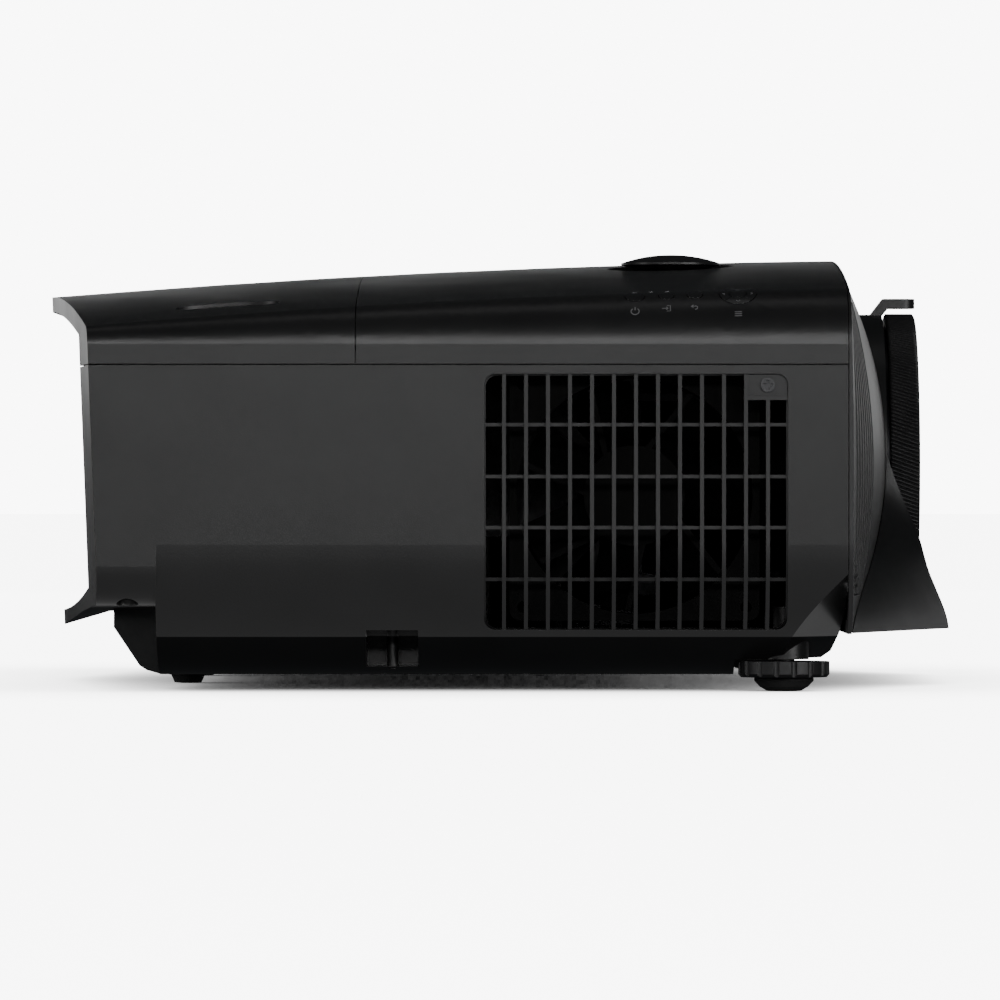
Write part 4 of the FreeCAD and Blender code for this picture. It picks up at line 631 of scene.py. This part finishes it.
# ---------------------------------------------------------------- sockets
def add_contact_row(shape, first, pitch, count, half_width, ends, heights, chamfer):
    """Flat contacts side by side along y; `first` is the middle of the first one."""
    for k in range(count):
        y = first + pitch * k
        add_block(shape, (ends[0], y - half_width, heights[0]),
                  (ends[1], y + half_width, heights[1]), chamfer)


def add_rear_details(gold, plated, screw_steel):
    """Contacts inside the sockets, sleeves on the inlet's pins, and the rear panel's screws."""
    contacts = bmesh.new()
    for video_y in (-104.0, -76.0):
        add_contact_row(contacts, video_y - 4.5, 1.0, 10, 0.28, (-141.0, -134.0), (52.55, 52.72), 0.05)
    add_contact_row(contacts, -130.0 - 3.75, 2.5, 4, 0.6, (-140.6, -133.0), (50.85, 51.05), 0.08)
    add_contact_row(contacts, -160.0 - 3.57, 1.02, 8, 0.22, (-140.0, -130.0), (56.3, 56.6), 0.06)
    finish_piece("socket_contacts", contacts, gold, "chassis")
    sleeves = bmesh.new()
    for y, z in ((153.0, 60.0), (167.0, 60.0), (160.0, 64.0)):
        add_block(sleeves, (-140.65, y - 1.06, z - 2.06), (-126.0, y + 1.06, z + 2.06), 0.35)
    finish_piece("inlet_pin_sleeves", sleeves, plated, "chassis")
    screws = bmesh.new()
    head = [(-141.0, 2.6), (-142.0, 2.5), (-142.5, 1.9), (-142.7, 1.1), (-142.1, 0.9), (-142.1, 0.2)]
    for y, z in ((-186.0, 100.0), (186.0, 100.0), (-95.0, 66.0),
                 (0.0, 130.0), (105.0, 66.0), (126.0, 44.0)):
        add_turned(screws, (0.0, y, z), head, 24, "X")
    finish_piece("panel_screws", screws, screw_steel, "chassis")


# ---------------------------------------------------------------- inside
def on_big_part(x, y):
    """True where a large part or a fixing screw already stands on the main board."""
    taken = [(-95, -57, -45, -7), (-97, -55, -135, -93), (-61, -35, -95, -35), (-115, -91, 5, 29),
             (-45, -23, -155, -105), (-118, -102, -82, -46)]
    posts = [(-120, -170), (-120, 60), (-30, -170), (-30, 60), (-75, -60)]
    post_room, row_end = 9, -36
    near_post = any(abs(x - px) < post_room and abs(y - py) < post_room for px, py in posts)
    on_part = any(x0 <= x <= x1 and y0 <= y <= y1 for x0, x1, y0, y1 in taken)
    return near_post or on_part or x > row_end


def add_board_parts(dark, grey, plated):
    """Small parts soldered to the main board in rows, chip legs, and the tops of large parts."""
    chips, cases, metal = bmesh.new(), bmesh.new(), bmesh.new()
    draw = random.Random(7)
    top = BOARD_TOP
    for row in range(13):
        for column in range(7):
            x, y = -120.0 + 14.0 * column, -172.0 + 18.0 * row
            if on_big_part(x, y):
                continue
            length, width = draw.choice([(3.2, 1.6), (2.0, 1.2), (4.0, 3.0)])
            for step in range(draw.randint(1, 3)):
                low = (x - length / 2 + 4.2 * step, y - width / 2, top)
                high = (x + length / 2 + 4.2 * step, y + width / 2, top + 0.9)
                add_block(cases if draw.random() < 0.5 else chips, low, high, 0.12)
                for end in (low[0] - 0.3, high[0] - 0.1):
                    add_block(metal, (end, low[1], top), (end + 0.4, high[1], top + 0.6), 0.06)
    leg_pitch = 1.3
    for x0, x1, y0, y1 in ((-90, -62, -40, -12), (-56, -40, -90, -70),
                           (-56, -40, -60, -40), (-110, -96, 10, 24)):
        for k in range(int((y1 - y0) / leg_pitch)):
            y = y0 + 1.0 + leg_pitch * k
            for start, stop in ((x0 - 1.4, x0 + 0.1), (x1 - 0.1, x1 + 1.4)):
                add_block(metal, (start, y - 0.22, top), (stop, y + 0.22, top + 0.45), 0.05)
    for k in range(9):
        x = -90.6 + 3.7 * k
        add_block(metal, (x, -129.0, 50.5), (x + 1.1, -99.0, 60.5), 0.1)
    small_can = [(52.55, 3.9), (52.9, 3.7), (53.0, 3.0), (52.8, 2.9), (52.8, 0.3)]
    for y in (-75.0, -64.0, -53.0):
        add_turned(metal, (-110.0, y, 0.0), small_can, 28)
    large_can = [(67.45, 7.9), (68.0, 7.6), (68.1, 6.2), (67.9, 6.1), (67.9, 0.4)]
    for y in (198.0, 216.0):
        add_turned(metal, (-100.0, y, 0.0), large_can, 36)
    finish_piece("board_chips", chips, dark, "chassis")
    finish_piece("board_capacitors", cases, grey, "chassis")
    finish_piece("board_solder", metal, plated, "chassis")


def add_intake_filter(material):
    """The pleated dust filter between the left grille and its fan."""
    fold_start, fold_pitch, fold_count, paper = -4.0, 1.85, 61, 0.5
    levels = [                           # height, y of the inner folds, depth of a fold
        (16.5, 217.5, 0.8), (23.0, 223.4, 0.8), (26.4, 228.1, 0.5), (28.8, 228.5, 1.8),
        (33.0, 229.8, 5.2), (60.0, 229.8, 5.2), (88.0, 229.8, 5.2), (116.5, 229.8, 5.2),
    ]
    shape = bmesh.new()
    rings = []
    for z, y, depth in levels:
        folds = [(fold_start + fold_pitch * k, y if k % 2 else y + depth) for k in range(fold_count)]
        outer = [(x, across, z) for x, across in folds]
        inner = [(x, across + paper, z) for x, across in reversed(folds)]
        rings.append(ring_of(shape, outer + inner))
    skin_rings(shape, rings)
    for ring_points in (rings[0], rings[-1]):
        shape.faces.new(ring_points)
    finish_piece("intake_filter", shape, material, "chassis", 20.0)


# ---------------------------------------------------------------- build
add_camera()
add_studio()
add_floor()
materials = make_materials()
slots = {entry["node"]: entry["material_slot"] for entry in frame["record"]["subparts"]}
for node, slot_name in slots.items():
    piece = frame["nodes"][node]
    piece.data.materials.clear()
    piece.data.materials.append(materials[slot_name])

ring = finish_piece("focus_ring_grip", ribbed_ring(), materials["ring_plastic"], "focus_ring", 50.0)
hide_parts("focus_ring")
mark_paint = smooth_plastic("mark_paint", (0.16, 0.16, 0.165), 0.5)
add_marks(mark_paint)
add_rear_details(materials["insert_brass"], materials["socket_metal"], materials["screw_steel"])
add_board_parts(materials["inlet_plastic"], materials["lamp_plastic"], materials["socket_metal"])
add_intake_filter(materials["rubber"])
